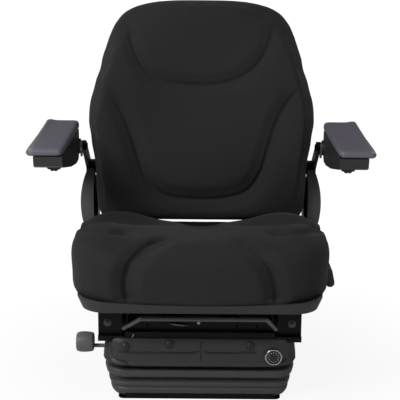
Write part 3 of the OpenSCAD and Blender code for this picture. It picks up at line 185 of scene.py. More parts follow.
# %%
# Finishes
# layers: the fine grain of moulded plastic, and satin rubber with a slow unevenness
FINE_GRAIN = ((0.9, 0.07, 0.04),)
SMOOTH_GRAIN = ((0.9, 0.06, 0.04),)
SATIN_RUBBER = ((1.2, 0.05, 0.05), (45, 0.5, 0))
finishes = {
    # black powder coat over sheet steel
    "black_steel": finish_material("black_powder_coat", "#070708", 0.38, layers=((1.5, 0.03, 0.05),),
                                   edge=1.0, shine=0.2),
    # bright zinc plating
    "zinc": finish_material("bright_zinc", "#9a9c9f", 0.36, metallic=1.0, layers=((6, 0.01, 0.08),),
                            edge=0.5),
    # moulded black rubber
    "black_rubber": finish_material("black_rubber", "#1b1b1b", 0.6, layers=((2, 0.05, 0.05),)),
    # satin dark grey rubber of the bellows, painted a shade lighter: painted light on the lips of the folds
    "bellows_rubber": finish_material("satin_bellows_rubber_painted_light", "#474749", 0.5, layers=SATIN_RUBBER, edge=1.5),
    # grained black moulding
    "dark_plastic": finish_material("grained_black_plastic", "#242425", 0.46, layers=SMOOTH_GRAIN, edge=1.2),
    # bright plated ring
    "bezel_metal": finish_material("bright_ring", "#c9c9cb", 0.2, metallic=1.0),
    # grained dark grey moulding
    "grey_plastic": finish_material("grained_grey_plastic", "#333334", 0.46, layers=FINE_GRAIN, edge=1.5),
    # drawn spring wire
    "spring_steel": finish_material("spring_wire", "#8c8e90", 0.35, metallic=1.0),
    # grey moulded knob
    "knob_plastic": finish_material("grey_knob_plastic", "#656567", 0.48, layers=((0.9, 0.05, 0.04),),
                                    edge=1.5),
    # black woven upholstery
    "black_fabric": woven_material("black_woven_cloth", "#232224", 0.9),
    # satin skin of the armrest foam
    "pad_skin": finish_material("satin_foam_skin", "#726f79", 0.38, layers=((1.1, 0.06, 0.05), (30, 0.3, 0))),
}

for row in frame["record"]["subparts"]:
    for spot in nodes[row["node"]].material_slots:
        spot.material = finishes[row["material_slot"]]

# the bail is glossier than the pressed sheets: a lacquered tube. Its mid grey is a painted highlight
# along the tube, which is black steel like the sheets
lacquer_painted_highlight = finish_material("lacquered_tube_painted_highlight", "#48484b", 0.28, coat=0.4)
# the rail bolts get a darker, rougher zinc than the other zinc parts
dull_zinc = finish_material("dulled_zinc", "#5c5e61", 0.45, metallic=1.0)
# the stiff apron is the same rubber as the folds, painted a shade darker: painted shade on its flat face
apron_rubber_painted_shade = finish_material("satin_apron_rubber_painted_shade", "#363638", 0.5, layers=SATIN_RUBBER, edge=1.5)
# the armrest bodies are dark grey rather than black
body_grey = finish_material("grained_armrest_plastic", "#343435", 0.46, layers=SMOOTH_GRAIN, edge=1.2)
# the leaf covers are a shade lighter than the tray
cover_grey = finish_material("grained_cover_plastic", "#5a595a", 0.42, layers=FINE_GRAIN, edge=1.5)
for name, finish in (("bail_handle", lacquer_painted_highlight), ("rail_bolts", dull_zinc), ("side_cover_left", cover_grey),
                     ("side_cover_right", cover_grey), ("armrest_body_left", body_grey),
                     ("armrest_body_right", body_grey)):
    for spot in nodes[name].material_slots:
        spot.material = finish


# %% [markdown]
# New pieces are meshes made from numbers or by growing a CAD solid. They lie in the row frame with
# their objects at the origin.

# %%
# Making and reading meshes
def new_piece(name, mesh, slot, body, stands_for=()):
    """Object of a mesh, with its finish, its body and the CAD nodes it stands for."""
    piece = bpy.data.objects.new(name, mesh)
    scene.collection.objects.link(piece)
    mesh.materials.clear()
    mesh.materials.append(finishes[slot])
    for face in mesh.polygons:
        face.use_smooth = True
    if body:
        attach(piece, body)
    if stands_for:
        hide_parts(*stands_for)
    return piece


def evaluated(piece):
    """Mesh of a piece with its modifiers applied."""
    graph = bpy.context.evaluated_depsgraph_get()
    return bpy.data.meshes.new_from_object(piece.evaluated_get(graph))


def settle(piece):
    """Applies the modifiers of a piece to its mesh."""
    mesh = evaluated(piece)
    piece.modifiers.clear()
    piece.data = mesh


def points_of(mesh):
    found = np.empty(len(mesh.vertices) * 3, dtype=np.float32)
    mesh.vertices.foreach_get("co", found)
    return found.reshape(-1, 3).astype(float)


def normals_of(mesh):
    found = np.empty(len(mesh.vertices) * 3, dtype=np.float32)
    mesh.vertices.foreach_get("normal", found)
    return found.reshape(-1, 3).astype(float)


def put_points(mesh, points):
    mesh.vertices.foreach_set("co", points.astype(np.float32).ravel())
    mesh.update()


def bump_curve(distance, width):
    """1 on a line, falling smoothly to 0 at the width."""
    share = np.clip(np.abs(distance) / width, 0, 1)
    return (1 - share ** 2) ** 2


def loft(name, rings):
    """Closed mesh through rings of points, of which the last is the first again."""
    work = bmesh.new()
    rows = [[work.verts.new(p) for p in ring] for ring in rings]
    count = len(rows[0])
    for low, high in zip(rows, rows[1:]):
        for i in range(count):
            j = (i + 1) % count
            work.faces.new((low[i], low[j], high[j], high[i]))
    bmesh.ops.remove_doubles(work, verts=work.verts, dist=1e-6)
    bmesh.ops.recalc_face_normals(work, faces=work.faces)
    mesh = bpy.data.meshes.new(name)
    work.to_mesh(mesh)
    work.free()
    return mesh


# %% [markdown]
# The cushions start as their CAD solids, a little smaller. Cloth with air inside swells them, with a
# cap on how far a point moves, and seams are pressed in afterwards.

# %%
# Upholstery
CLOTH_FRAMES = 20
CLOTH_PRESSURE = 4.0
# what the smoothing takes off a rounded edge, in mm
FULLNESS = 2.0
ROUNDS_BEFORE, ROUNDS_AFTER = 5, 4
# voxel, inset and cap of a cushion, in mm
CUSHION_VOXEL, CUSHION_INSET, CUSHION_CAP = 5.5, 1.5, 8


def swell(name, node, voxel, inset, cap, freedom):
    """Remeshed copy of a soft CAD node, swollen like a foam cushion under cloth."""
    mesh = nodes[node].data.copy()
    piece = bpy.data.objects.new(name, mesh)
    scene.collection.objects.link(piece)
    remesh = piece.modifiers.new("remesh", "REMESH")
    remesh.mode = "VOXEL"
    remesh.voxel_size = voxel * MM
    settle(piece)
    smooth = piece.modifiers.new("smooth", "SMOOTH")
    smooth.factor = 0.5
    smooth.iterations = ROUNDS_BEFORE
    settle(piece)
    free = freedom(points_of(piece.data))
    start = points_of(piece.data) + normals_of(piece.data) * FULLNESS * MM * free[:, None]
    put_points(piece.data, start)
    put_points(piece.data, start - normals_of(piece.data) * inset * MM * free[:, None])
    shrunk = points_of(piece.data)
    cloth = piece.modifiers.new("cloth", "CLOTH")
    cloth.settings.use_pressure = True
    cloth.settings.uniform_pressure_force = CLOTH_PRESSURE
    cloth.settings.effector_weights.gravity = 0
    cloth.point_cache.frame_end = CLOTH_FRAMES
    for step in range(1, CLOTH_FRAMES + 1):
        scene.frame_set(step)
    moved = points_of(evaluated(piece))
    piece.modifiers.clear()
    scene.frame_set(1)
    shift = moved - shrunk
    outwards = normals_of(piece.data)
    rise = np.clip((shift * outwards).sum(axis=1), 0, cap * MM * free)
    put_points(piece.data, shrunk + outwards * rise[:, None])
    smooth = piece.modifiers.new("smooth", "SMOOTH")
    smooth.factor = 0.5
    smooth.iterations = ROUNDS_AFTER
    settle(piece)
    subdivide = piece.modifiers.new("subdivide", "SUBSURF")
    subdivide.levels = 1
    settle(piece)
    return piece


LINE_STEPS = 40


def on_picture(piece, spots):
    """Points on the front of a piece under a line drawn through places of the picture."""
    return seen_points(piece, smooth_line(spots, LINE_STEPS))


def seen_points(piece, spots):
    """The points of a piece seen at these places of the picture."""
    tree = BVHTree.FromObject(piece, bpy.context.evaluated_depsgraph_get())
    hits = [tree.ray_cast(CAMERA_PLACE, pixel_ray(u, v))[0] for u, v in spots]
    return [hit for hit in hits if hit]


def smooth_line(spots, steps):
    """Rounded line through the given places."""
    spots = [np.array(s, dtype=float) for s in spots]
    ends = [2 * spots[0] - spots[1]] + spots + [2 * spots[-1] - spots[-2]]
    line = []
    for a, b, c, d in zip(ends, ends[1:], ends[2:], ends[3:]):
        for k in range(steps):
            t = k / steps
            line.append(0.5 * (2 * b + (c - a) * t + (2 * a - 5 * b + 4 * c - d) * t ** 2
                               + (3 * b - a - 3 * c + d) * t ** 3))
    line.append(spots[-1])
    return line


def front_share(piece, low, high):
    """0 to 1 for how squarely each point of a piece faces the front."""
    return np.clip((-normals_of(piece.data)[:, 1] - low) / (high - low), 0, 1)


def calm(piece, share, rounds):
    """Smooths a piece where the share is high."""
    group = piece.vertex_groups.new(name="calm")
    levels = np.round(share * 10).astype(int)
    for level in range(1, 11):
        group.add(np.nonzero(levels == level)[0].tolist(), level / 10, "REPLACE")
    smooth = piece.modifiers.new("calm", "SMOOTH")
    smooth.iterations = rounds
    smooth.vertex_group = "calm"
    settle(piece)
    piece.vertex_groups.clear()


def within(points, line):
    """True for the points whose x and z lie inside the closed line."""
    found = np.zeros(len(points), dtype=bool)
    x, z = points[:, 0], points[:, 2]
    for a, b in zip(line, line[1:] + line[:1]):
        if a[2] != b[2]:
            crosses = (a[2] > z) != (b[2] > z)
            found ^= crosses & (x < a[0] + (z - a[2]) * (b[0] - a[0]) / (b[2] - a[2]))
    return found


def line_tree(line):
    """Search tree of the points of a line."""
    tree = KDTree(len(line))
    for i, p in enumerate(line):
        tree.insert(p, i)
    tree.balance()
    return tree


# share of a crease over which it fades at each end
CREASE_FADE = 0.12


def press(piece, line, width, depth):
    """Presses a crease of this width and depth, in mm, along a line on a piece."""
    tree = line_tree(line)
    points = points_of(piece.data)
    normals = normals_of(piece.data)
    near = [tree.find(p) for p in points]
    away = np.array([n[2] for n in near])
    place = np.array([n[1] for n in near]) / len(line)
    fading = np.clip(np.minimum(place, 1 - place) / CREASE_FADE, 0, 1)
    put_points(piece.data, points - normals * (bump_curve(away, width * MM) * fading * depth * MM)[:, None])


# %% [markdown]
# Seat cushion: a broad crowned pad with a tongue panel in front, two thigh bolsters and two rear lobes
# with a valley between them. It rests in the tray, so it swells only above the rim, and hangs over it.

# %%
# Seat cushion
# height of the rim in the middle, its rise towards the sides and the half width it rises over
RIM_TOP, RIM_RISE, RIM_REACH = 0.229, 0.008, 0.20
# fullness of the roll over the rim, its height above the rim and its half height
ROLL, ROLL_AT_SIDES = 3.4, 1.6
ROLL_ABOVE, ROLL_HALF = 0.010, 0.02
# the cloth is free from this height above the rim, and bound again towards the rear
FREE_ABOVE, BOUND_Y, BOUND_OVER, BOUND_SHARE = 0.012, 0.118, 0.04, 0.1
SEAT_CALM = 50
# push of the rear shoulders in mm, and where it starts and over what length, in z, x and y
SHOULDER = 12.0
SHOULDER_Z, SHOULDER_X, SHOULDER_Y = (0.285, 0.035), (0.14, 0.07), (-0.10, 0.10)
SEAT_HALF = 0.257
# how far the cloth hangs, in mm, and over what height
DROOP_MIDDLE, DROOP_SIDES, DROOP_OVER = 4.0, 9.0, 0.045
HANG_START, HANG_OVER = 0.012, 0.008


def from_rim(points):
    """Share of the way out to the sides, and the height above the rim."""
    side = np.clip(np.abs(points[:, 0]) / RIM_REACH, 0, 1) ** 2
    return side, points[:, 2] - RIM_TOP - RIM_RISE * side


def above_rim(points):
    """How free the cloth is at each point."""
    side, height = from_rim(points)
    low_roll = (ROLL + ROLL_AT_SIDES * side) * np.clip(1 - np.abs(height - ROLL_ABOVE) / ROLL_HALF, 0, 1)
    bound = np.clip((BOUND_Y - points[:, 1]) / BOUND_OVER, BOUND_SHARE, 1)
    return (np.clip(height / FREE_ABOVE, 0, 1) + low_roll) * bound


def ramp(values, start, over):
    """0 up to the start, rising to 1 over a length."""
    return np.clip((values - start) / over, 0, 1)


# the seam round the tongue panel, and the creases in front of the two rear lobes
TONGUE_LEFT = [(128.3, 305), (127.5, 300), (124.7, 286), (126.4, 273), (132.7, 260), (145.5, 247.5),
               (158, 241), (173, 237.5)]
TONGUE_RIGHT = [(276, 305), (276.4, 299), (275.5, 287), (272, 273), (263.6, 258), (249, 246), (231, 238.5)]
LOBE_LEFT = [(74, 226), (82, 227.3), (96.4, 228.8), (111, 231.5), (131, 232.2)]
LOBE_RIGHT = [(266, 232.4), (287, 232.8), (306, 231.2), (317, 229.5), (325, 228)]
VALLEY = [(201, 221.5), (201, 226), (201, 232)]

seat_cushion = swell("seat_cushion_cover", "seat_cushion", CUSHION_VOXEL, CUSHION_INSET, CUSHION_CAP,
                     above_rim)
calm(seat_cushion, above_rim(points_of(seat_cushion.data)).clip(0, 1), SEAT_CALM)
# fuller shoulders at the rear corners, and the cloth hanging over the rim of the tray
points = points_of(seat_cushion.data)
side, height = from_rim(points)
hanging = (np.clip(1 - height / DROOP_OVER, 0, 1) * np.clip((height + HANG_START) / HANG_OVER, 0, 1)
           * np.clip((BOUND_Y - points[:, 1]) / BOUND_OVER, 0, 1))
points[:, 2] -= hanging * (DROOP_MIDDLE + (DROOP_SIDES - DROOP_MIDDLE) * side) * MM
shoulder = (ramp(points[:, 2], *SHOULDER_Z) * ramp(np.abs(points[:, 0]), *SHOULDER_X)
            * ramp(points[:, 1], *SHOULDER_Y))
points[:, 0] += np.sign(points[:, 0]) * shoulder * SHOULDER * MM
# the recline grip swings close to the cushion's side
points[:, 0] = points[:, 0].clip(-SEAT_HALF, SEAT_HALF)
put_points(seat_cushion.data, points)
for spots, width, depth in ((VALLEY, 70, 9), (LOBE_LEFT, 22, 9), (LOBE_RIGHT, 22, 8), (TONGUE_LEFT, 34, 13),
                            (TONGUE_LEFT, 9, 6), (TONGUE_RIGHT, 32, 11), (TONGUE_RIGHT, 8, 5)):
    press(seat_cushion, on_picture(seat_cushion, spots), width, depth)
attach(seat_cushion, "seat")
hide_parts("seat_cushion")


# %% [markdown]
# Backrest cushion: the same cloth over a waisted pad, with a U-shaped seam under the head panel and a
# long seam round the lumbar panel.

# %%
# Backrest cushion
# the leaning front of the shell: its place at one height, its slope, and the length the cloth is bound over
SHELL_Y, SHELL_Z, SHELL_SLOPE, SHELL_OVER = 0.30, 0.3, 0.2, 0.06


def in_front_of_shell(points):
    """How free the cloth is at each point: bound where it meets the shell."""
    ahead = SHELL_Y - points[:, 1] + (points[:, 2] - SHELL_Z) * SHELL_SLOPE
    return np.clip(ahead / SHELL_OVER, BOUND_SHARE, 1)


HEAD_SEAM = [(127.5, 17.6), (129.7, 30.6), (133.6, 46), (141.2, 62.8), (153.5, 76.5), (171.8, 83.4),
             (199.4, 85.7), (225.4, 83.4), (245.3, 75), (260.6, 61.2), (269.8, 42.9), (275.2, 21.4)]
LUMBAR_SEAM = [(96.8, 90.3), (109, 93.4), (118.3, 104), (127.5, 122.5), (134.3, 142.4), (141.2, 165.3),
               (148.9, 182.2), (162.7, 194.4), (184.1, 199), (210.1, 199.8), (233.1, 196.7), (248.4, 189.8),
               (260.6, 173), (268.3, 150), (275.9, 125.5), (285.1, 107.1), (294.3, 94.9), (302, 90.3)]

CALM_ROUNDS = 40
FAIRING = 0.9
DISH = 18
SIDE_FACING = 0.35
EDGE_BAND = 45
WING_REACH = 48
WING_RISE = 8
# middle height and half size that the face is fitted over, and the share that counts as face
FACE_MIDDLE, FACE_HALF, FACE_SHARE = 0.53, 0.25, 0.95
# where the dish starts and the height it grows over
DISH_Z = (0.32, 0.12)
# how far the cloth faces forward where it is calmed, where the wings rise, and where it is calmed last
CALM_FACING, WING_FACING, LAST_FACING = (0.6, 0.9), (0.3, 0.8), (0.0, 0.5)
LAST_ROUNDS = 2
# corners that close the lumbar seam above the head
ABOVE_HEAD = [Vector((0.3, 0, 0.9)), Vector((-0.3, 0, 0.9))]
back_cushion = swell("backrest_cover", "backrest_cushion", CUSHION_VOXEL, CUSHION_INSET, CUSHION_CAP,
                     in_front_of_shell)
calm(back_cushion, front_share(back_cushion, *CALM_FACING), CALM_ROUNDS)

# one smooth dished face: a low power surface through the front, with the wings drawn forward
points = points_of(back_cushion.data)
tree = line_tree(points[np.abs(normals_of(back_cushion.data)[:, 1]) < SIDE_FACING])
inwards = np.clip(np.array([tree.find(p)[2] for p in points]) / (EDGE_BAND * MM), 0, 1)
share = inwards ** 2 * (3 - 2 * inwards) * (normals_of(back_cushion.data)[:, 1] < 0)
across, up = points[:, 0] / FACE_HALF, (points[:, 2] - FACE_MIDDLE) / FACE_HALF
terms = np.stack([across ** a * up ** b for a in (0, 2, 4) for b in range(5)], axis=1)
flat = share > FACE_SHARE
weights = np.linalg.lstsq(terms[flat], points[flat, 1], rcond=None)[0]
points[:, 1] += share * FAIRING * (terms @ weights - points[:, 1])
points[:, 1] -= share * DISH * MM * across ** 2 * ramp(points[:, 2], *DISH_Z)
put_points(back_cushion.data, points)

# the wings outside the lumbar seam rise towards their outer edges
seam = on_picture(back_cushion, LUMBAR_SEAM)
tree = line_tree(seam)
points = points_of(back_cushion.data)
beyond = np.array([tree.find(p)[2] for p in points])
wing = ~within(points, seam + ABOVE_HEAD)
rise = np.clip(beyond / (WING_REACH * MM), 0, 1)
points[:, 1] -= WING_RISE * MM * rise * wing * front_share(back_cushion, *WING_FACING)
put_points(back_cushion.data, points)

for spots, width, depth in ((HEAD_SEAM, 30, 7), (HEAD_SEAM, 8, 4), (LUMBAR_SEAM, 34, 8), (LUMBAR_SEAM, 8, 5)):
    press(back_cushion, on_picture(back_cushion, spots), width, depth)
calm(back_cushion, front_share(back_cushion, *LAST_FACING), LAST_ROUNDS)
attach(back_cushion, "backrest")
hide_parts("backrest_cushion")

for cushion in (seat_cushion, back_cushion):
    cushion.data.materials.clear()
    cushion.data.materials.append(finishes["black_fabric"])
    for face in cushion.data.polygons:
        face.use_smooth = True

# %% [markdown]
# Armrest pads: the CAD pads, rounded finer. Their outer edge stands up at the rear and hangs a little
# at the front.

# %%
# Armrest pads
LIP_WIDE, LIP_RISE, LIP_HANG, LIP_OUT = 26, 6, 3, 6
PAD_VOXEL, PAD_ROUNDS = 2.5, 6
for side in ("left", "right"):
    pad = new_piece(f"armrest_pad_{side}_skin", nodes[f"armrest_pad_{side}"].data.copy(), "pad_skin",
                    None, (f"armrest_pad_{side}",))
    remesh = pad.modifiers.new("remesh", "REMESH")
    remesh.mode = "VOXEL"
    remesh.voxel_size = PAD_VOXEL * MM
    settle(pad)
    smooth = pad.modifiers.new("smooth", "SMOOTH")
    smooth.iterations = PAD_ROUNDS
    settle(pad)
    points = points_of(pad.data)
    outwards = 1 if side == "right" else -1
    reach = points[:, 0] * outwards
    outer = np.clip((reach - reach.max() + LIP_WIDE * MM) / (LIP_WIDE * MM), 0, 1) ** 2
    along = (points[:, 1] - points[:, 1].min()) / np.ptp(points[:, 1])
    points[:, 2] += outer * MM * (LIP_RISE * along - LIP_HANG * (1 - along))
    points[:, 0] += outer * MM * outwards * (LIP_OUT * (1 - along))
    put_points(pad.data, points)
    for face in pad.data.polygons:
        face.use_smooth = True
    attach(pad, f"armrest_{side}")

# %% [markdown]
# Bellows: the folds again with rounder lips. The grooves run deep across the front and rear and fade
# into the corners.

# %%
# Bellows folds
HALF_W, HALF_L, CORNER, WALL, CORNER_STEPS = 0.191, 0.185, 0.040, 0.0015, 14
# inset of the sides, inset of the front and rear, height, in mm
FOLD_LINE = [(16, 12.5, 7), (12, 11, 12), (10, 10, 17), (9, 10, 21), (8.8, 12.5, 24), (8, 10, 27.5),
             (6.5, 8.5, 32), (5, 10, 36), (4, 19, 39), (3, 19.5, 43), (1.5, 8.5, 47), (0, 6.5, 52),
             (-1.5, 6.5, 57), (-2, 9, 61), (0, 20, 63.5), (3, 22, 68), (6, 22, 76)]
FOLD_STEPS = 5


def fold_ring(side, front, height, wall=0.0):
    """Rounded rectangle, its points anticlockwise."""
    radius = CORNER - side * MM / 2 - wall / 2
    half_x = HALF_W - side * MM - wall
    half_y = HALF_L - front * MM - wall
    ring = []
    for quarter, (sx, sy) in enumerate(((1, 1), (-1, 1), (-1, -1), (1, -1))):
        for i in range(CORNER_STEPS + 1):
            turn = math.radians(90 * quarter + 90 * i / CORNER_STEPS)
            ring.append((sx * (half_x - radius) + radius * math.cos(turn),
                         sy * (half_y - radius) + radius * math.sin(turn), height * MM))
    return ring


# height of the seam, half width at which it starts to rise, its rise and the height it rises over
SEAM_Z, BOW_FROM, BOW, BOW_SPREAD = 0.068, 0.10, 0.006, 0.035


def bowed(ring):
    """Lifts a ring towards the corners, most at the seam between the folds and the apron."""
    lifted = []
    for x, y, z in ring:
        corner = min(max((abs(x) - BOW_FROM) / (HALF_W - BOW_FROM), 0), 1) ** 2
        level = max(1 - abs(z - SEAM_Z) / BOW_SPREAD, 0)
        lifted.append((x, y, z + BOW * corner * level))
    return lifted


fold_line = smooth_line(FOLD_LINE, FOLD_STEPS)
outside = [bowed(fold_ring(*p)) for p in fold_line]
inside = [bowed(fold_ring(*p, WALL)) for p in reversed(fold_line)]
fold_mesh = loft("bellows_folds_skin", outside + inside + outside[:1])
folds = new_piece("bellows_folds_skin", fold_mesh, "bellows_rubber", "base", ("bellows_folds",))
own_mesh(folds)

# %% [markdown]
# Apron: the stiff upper part, with a rolled lower edge, the panel line that turns up at both corners,
# two flat bands and the middle seam.

# %%
# Apron
APRON_LINE = [(4, 13, 73.5), (-1, 6, 73.2), (-3.5, 0.5, 74.2), (-4.5, -1.8, 77), (-5, -1.8, 79.5),
              (-4.8, 0.4, 84.5), (-4.5, 1.0, 92), (-3, 0.4, 106), (-1, -0.5, 120), (1.5, 1.5, 128),
              (5, 5, 132.7)]
APRON_STEPS = 7
SIDE_STEPS = 90
apron_line = smooth_line(APRON_LINE, APRON_STEPS)


def fine_ring(side, front, height, wall=0.0):
    """The same ring with its four straight sides cut finely."""
    ring = fold_ring(side, front, height, wall)
    fine = []
    for a, b in zip(ring, ring[1:] + ring[:1]):
        steps = SIDE_STEPS if math.dist(a, b) > CORNER else 1
        for k in range(steps):
            fine.append(tuple(p + (q - p) * k / steps for p, q in zip(a, b)))
    return fine


outside = [bowed(fine_ring(*p)) for p in apron_line]
inside = [bowed(fine_ring(*p, WALL)) for p in reversed(apron_line)]
apron_mesh = loft("bellows_apron_skin", outside + inside + outside[:1])
apron = new_piece("bellows_apron_skin", apron_mesh, "bellows_rubber", "upper_frame", ("bellows_apron",))
apron.data.materials[0] = apron_rubber_painted_shade
PANEL_LEFT = [(109.8, 343), (109.6, 352), (110.8, 358), (114, 361.5), (120, 363.5), (129, 364.8)]
PANEL_RIGHT = [(272, 364.8), (281, 363.5), (287.4, 361.5), (290.6, 358), (291.8, 352), (291.6, 343)]
BAND_LEFT = [(118, 351.5), (124, 352.5), (160, 353), (194, 353), (197.5, 350)]
BAND_RIGHT = [(204.5, 350), (208, 353), (240, 353), (262, 352.5)]
MIDDLE = [(201, 341), (201, 352), (201, 362)]
for spots, width, depth in ((PANEL_LEFT, 9, 3), (PANEL_RIGHT, 9, 3),
                            (BAND_LEFT, 5, 1.0), (BAND_RIGHT, 5, 1.0),
                            (MIDDLE, 4, 1.5)):
    press(apron, on_picture(apron, spots), width, depth)

# %% [markdown]
# Push plugs: three low domes with a collar, where the picture shows them on the apron.

# %%
# Plugs and dial ticks
PLUG_SPOTS = [(125.6, 346.6), (169.4, 344.4), (250, 346)]
# radius and height over the apron, in mm, from the collar to the top of the dome
PLUG_PROFILE = [(9.5, -1.5), (9.5, 0.6), (8.6, 1.2), (7.2, 1.2), (6.6, 1.8), (5.4, 3.0), (3.2, 3.9), (0, 4.2)]
TURN_STEPS = 40


def turned(work, centre, profile):
    """Adds a solid of revolution about the line through centre along -Y."""
    angles = [2 * math.pi * k / TURN_STEPS for k in range(TURN_STEPS)]
    rings = [[work.verts.new((centre[0] + r * MM * math.cos(a), centre[1] - h * MM,
                              centre[2] + r * MM * math.sin(a))) for a in angles] for r, h in profile]
    for low, high in zip(rings, rings[1:]):
        for i in range(TURN_STEPS):
            j = (i + 1) % TURN_STEPS
            work.faces.new((low[i], low[j], high[j], high[i]))
    work.faces.new(rings[0][::-1])


work = bmesh.new()
for spot in seen_points(apron, PLUG_SPOTS):
    turned(work, spot, PLUG_PROFILE)
bmesh.ops.remove_doubles(work, verts=work.verts, dist=1e-6)
bmesh.ops.recalc_face_normals(work, faces=work.faces)
plug_mesh = bpy.data.meshes.new("bellows_plugs_skin")
work.to_mesh(plug_mesh)
work.free()
new_piece("bellows_plugs_skin", plug_mesh, "dark_plastic", "upper_frame", ("bellows_plugs",))

# raised ticks round the dark face of the dial, at its real centre
face_points = points_of(nodes["dial_face"].data)
DIAL_CENTRE = (face_points.max(axis=0) + face_points.min(axis=0)) / 2
DIAL_FRONT = face_points[:, 1].min()
TICKS, TICK_IN, TICK_OUT, TICK_HALF, TICK_HIGH = 12, 8.5, 11.5, 0.5, 0.5
work = bmesh.new()
at_dial = Matrix.Translation((DIAL_CENTRE[0], DIAL_FRONT, DIAL_CENTRE[2]))
for k in range(TICKS):
    turn = Matrix.Rotation(2 * math.pi * k / TICKS, 4, "Y")
    tick = bmesh.ops.create_cube(work, size=1)["verts"]
    bmesh.ops.scale(work, verts=tick, vec=(2 * TICK_HALF * MM, 2 * TICK_HIGH * MM, (TICK_OUT - TICK_IN) * MM))
    bmesh.ops.translate(work, verts=tick, vec=(0, 0, (TICK_OUT + TICK_IN) / 2 * MM))
    bmesh.ops.transform(work, verts=tick, matrix=at_dial @ turn)
tick_mesh = bpy.data.meshes.new("dial_ticks")
work.to_mesh(tick_mesh)
work.free()
ticks = new_piece("dial_ticks", tick_mesh, "bezel_metal", "upper_frame")
for face in ticks.data.polygons:
    face.use_smooth = False

# %% [markdown]
# Two small bright things on the slide: the zinc screw in the middle of the crossplate, and a short
# bright bit at the left of the frame, taken for the end of a wire.

# %%
# Screw and wire
SCREW_SPOT, SCREW_RADIUS, SCREW_HIGH, SCREW_SIDES = (198.6, 322.5), 3.6, 3.0, 6
WIRE_TOP, WIRE_LOW, WIRE_RADIUS, WIRE_SIDES = (134.2, 332.5), (131.5, 339.0), 1.1, 16
# metres that one pixel of the picture covers at the front of the frame
PIXEL_AT_FRAME = 0.00195


def zinc_rod(name, sides, radius, start, end):
    """Round or many-sided zinc rod between two points, on the upper frame."""
    work = bmesh.new()
    turn = (end - start).to_track_quat("Z", "Y").to_matrix().to_4x4()
    bmesh.ops.create_cone(work, cap_ends=True, segments=sides, radius1=radius * MM, radius2=radius * MM,
                          depth=(end - start).length, matrix=Matrix.Translation((start + end) / 2) @ turn)
    mesh = bpy.data.meshes.new(name)
    work.to_mesh(mesh)
    work.free()
    return new_piece(name, mesh, "zinc", "upper_frame")


spot = seen_points(nodes["slide_crossplate"], [SCREW_SPOT])[0]
screw_top = spot - Vector((0, SCREW_HIGH * MM, 0))
screw = zinc_rod("crossplate_screw_cap", SCREW_SIDES, SCREW_RADIUS, spot, screw_top)
for face in screw.data.polygons:
    face.use_smooth = False

top = seen_points(nodes["upper_frame"], [WIRE_TOP])[0] - Vector((0, 2 * WIRE_RADIUS * MM, 0))
across, down = ((low - high) * PIXEL_AT_FRAME for high, low in zip(WIRE_TOP, WIRE_LOW))
low = top + Vector((across, -WIRE_RADIUS * MM, -down))
zinc_rod("latch_wire_end", WIRE_SIDES, WIRE_RADIUS, top, low)

# %% [markdown]
# Light: one large soft lamp from the upper left, weaker ones from the right, above and behind. The
# background is white to the camera, and the floor fades to white away from the seat.

# %%
# Light and floor
world = bpy.data.worlds.new("studio")
scene.world = world
world.use_nodes = True
tree = world.node_tree
tree.nodes.clear()
paths = add_node(tree, "LightPath")
seen = add_node(tree, "Math", operation="MAXIMUM")
tree.links.new(paths.outputs["Is Camera Ray"], seen.inputs[0])
tree.links.new(paths.outputs["Is Transmission Ray"], seen.inputs[1])
level = add_node(tree, "MapRange", To_Min=0.06, To_Max=1.0)
tree.links.new(seen.outputs["Value"], level.inputs["Value"])
sky = add_node(tree, "Background", Color=(1, 1, 1, 1))
tree.links.new(level.outputs["Result"], sky.inputs["Strength"])
world_output = add_node(tree, "OutputWorld")
tree.links.new(sky.outputs["Background"], world_output.inputs["Surface"])

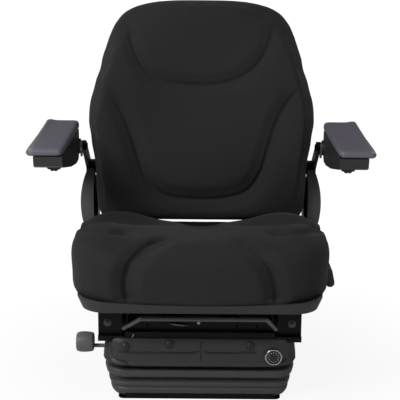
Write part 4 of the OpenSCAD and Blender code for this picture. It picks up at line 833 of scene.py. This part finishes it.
lamps = (
    ("key", (-1.9, -1.8, 2.15), 1.7, 62),
    ("fill", (2.0, -1.8, 1.6), 1.4, 10),
    ("top", (0.0, -0.5, 2.6), 1.4, 2),
    ("rear_left", (-1.5, 1.8, 1.9), 1.2, 9),
    ("rear_right", (1.6, 1.6, 1.6), 1.2, 7),
)
AIM = Vector((0, 0, 0.38))
for name, place, size, power in lamps:
    data = bpy.data.lights.new(name, "AREA")
    data.shape = "DISK"
    data.size = size
    data.energy = power
    lamp = bpy.data.objects.new(name, data)
    lamp.location = place
    lamp.rotation_euler = (AIM - Vector(place)).to_track_quat("-Z", "Y").to_euler()
    scene.collection.objects.link(lamp)

FLOOR_HALF = 30
work = bmesh.new()
bmesh.ops.create_grid(work, x_segments=1, y_segments=1, size=FLOOR_HALF)
floor_mesh = bpy.data.meshes.new("floor")
work.to_mesh(floor_mesh)
work.free()
floor = bpy.data.objects.new("floor", floor_mesh)
floor.location = (0, 0, -0.0005)
scene.collection.objects.link(floor)
# pale studio floor, white to the camera further out, with a soft shadow under the seat
floor_finish = bpy.data.materials.new("pale_floor")
floor_finish.use_nodes = True
tree = floor_finish.node_tree
shader = tree.nodes["Principled BSDF"]
shader.inputs["Base Color"].default_value = (0.82, 0.82, 0.82, 1)
shader.inputs["Roughness"].default_value = 0.9
paths = add_node(tree, "LightPath")
seen = add_node(tree, "Math", operation="MAXIMUM")
tree.links.new(paths.outputs["Is Camera Ray"], seen.inputs[0])
tree.links.new(paths.outputs["Is Transmission Ray"], seen.inputs[1])
place = add_node(tree, "TexCoord")
reach = add_node(tree, "VectorMath", operation="LENGTH")
tree.links.new(place.outputs["Object"], reach.inputs[0])
fade = add_node(tree, "MapRange", From_Min=0.3, From_Max=0.9, To_Min=0.86, To_Max=1.0)
tree.links.new(reach.outputs["Value"], fade.inputs["Value"])
share = add_node(tree, "Math", operation="MULTIPLY")
tree.links.new(fade.outputs["Result"], share.inputs[1])
tree.links.new(seen.outputs["Value"], share.inputs[0])
white = add_node(tree, "Emission", Color=(1, 1, 1, 1), Strength=1.04)
mix = add_node(tree, "MixShader")
tree.links.new(share.outputs["Value"], mix.inputs["Fac"])
tree.links.new(shader.outputs["BSDF"], mix.inputs[1])
tree.links.new(white.outputs["Emission"], mix.inputs[2])
tree.links.new(mix.outputs["Shader"], tree.nodes["Material Output"].inputs["Surface"])
floor_mesh.materials.append(floor_finish)
scene.view_settings.view_transform = "Standard"
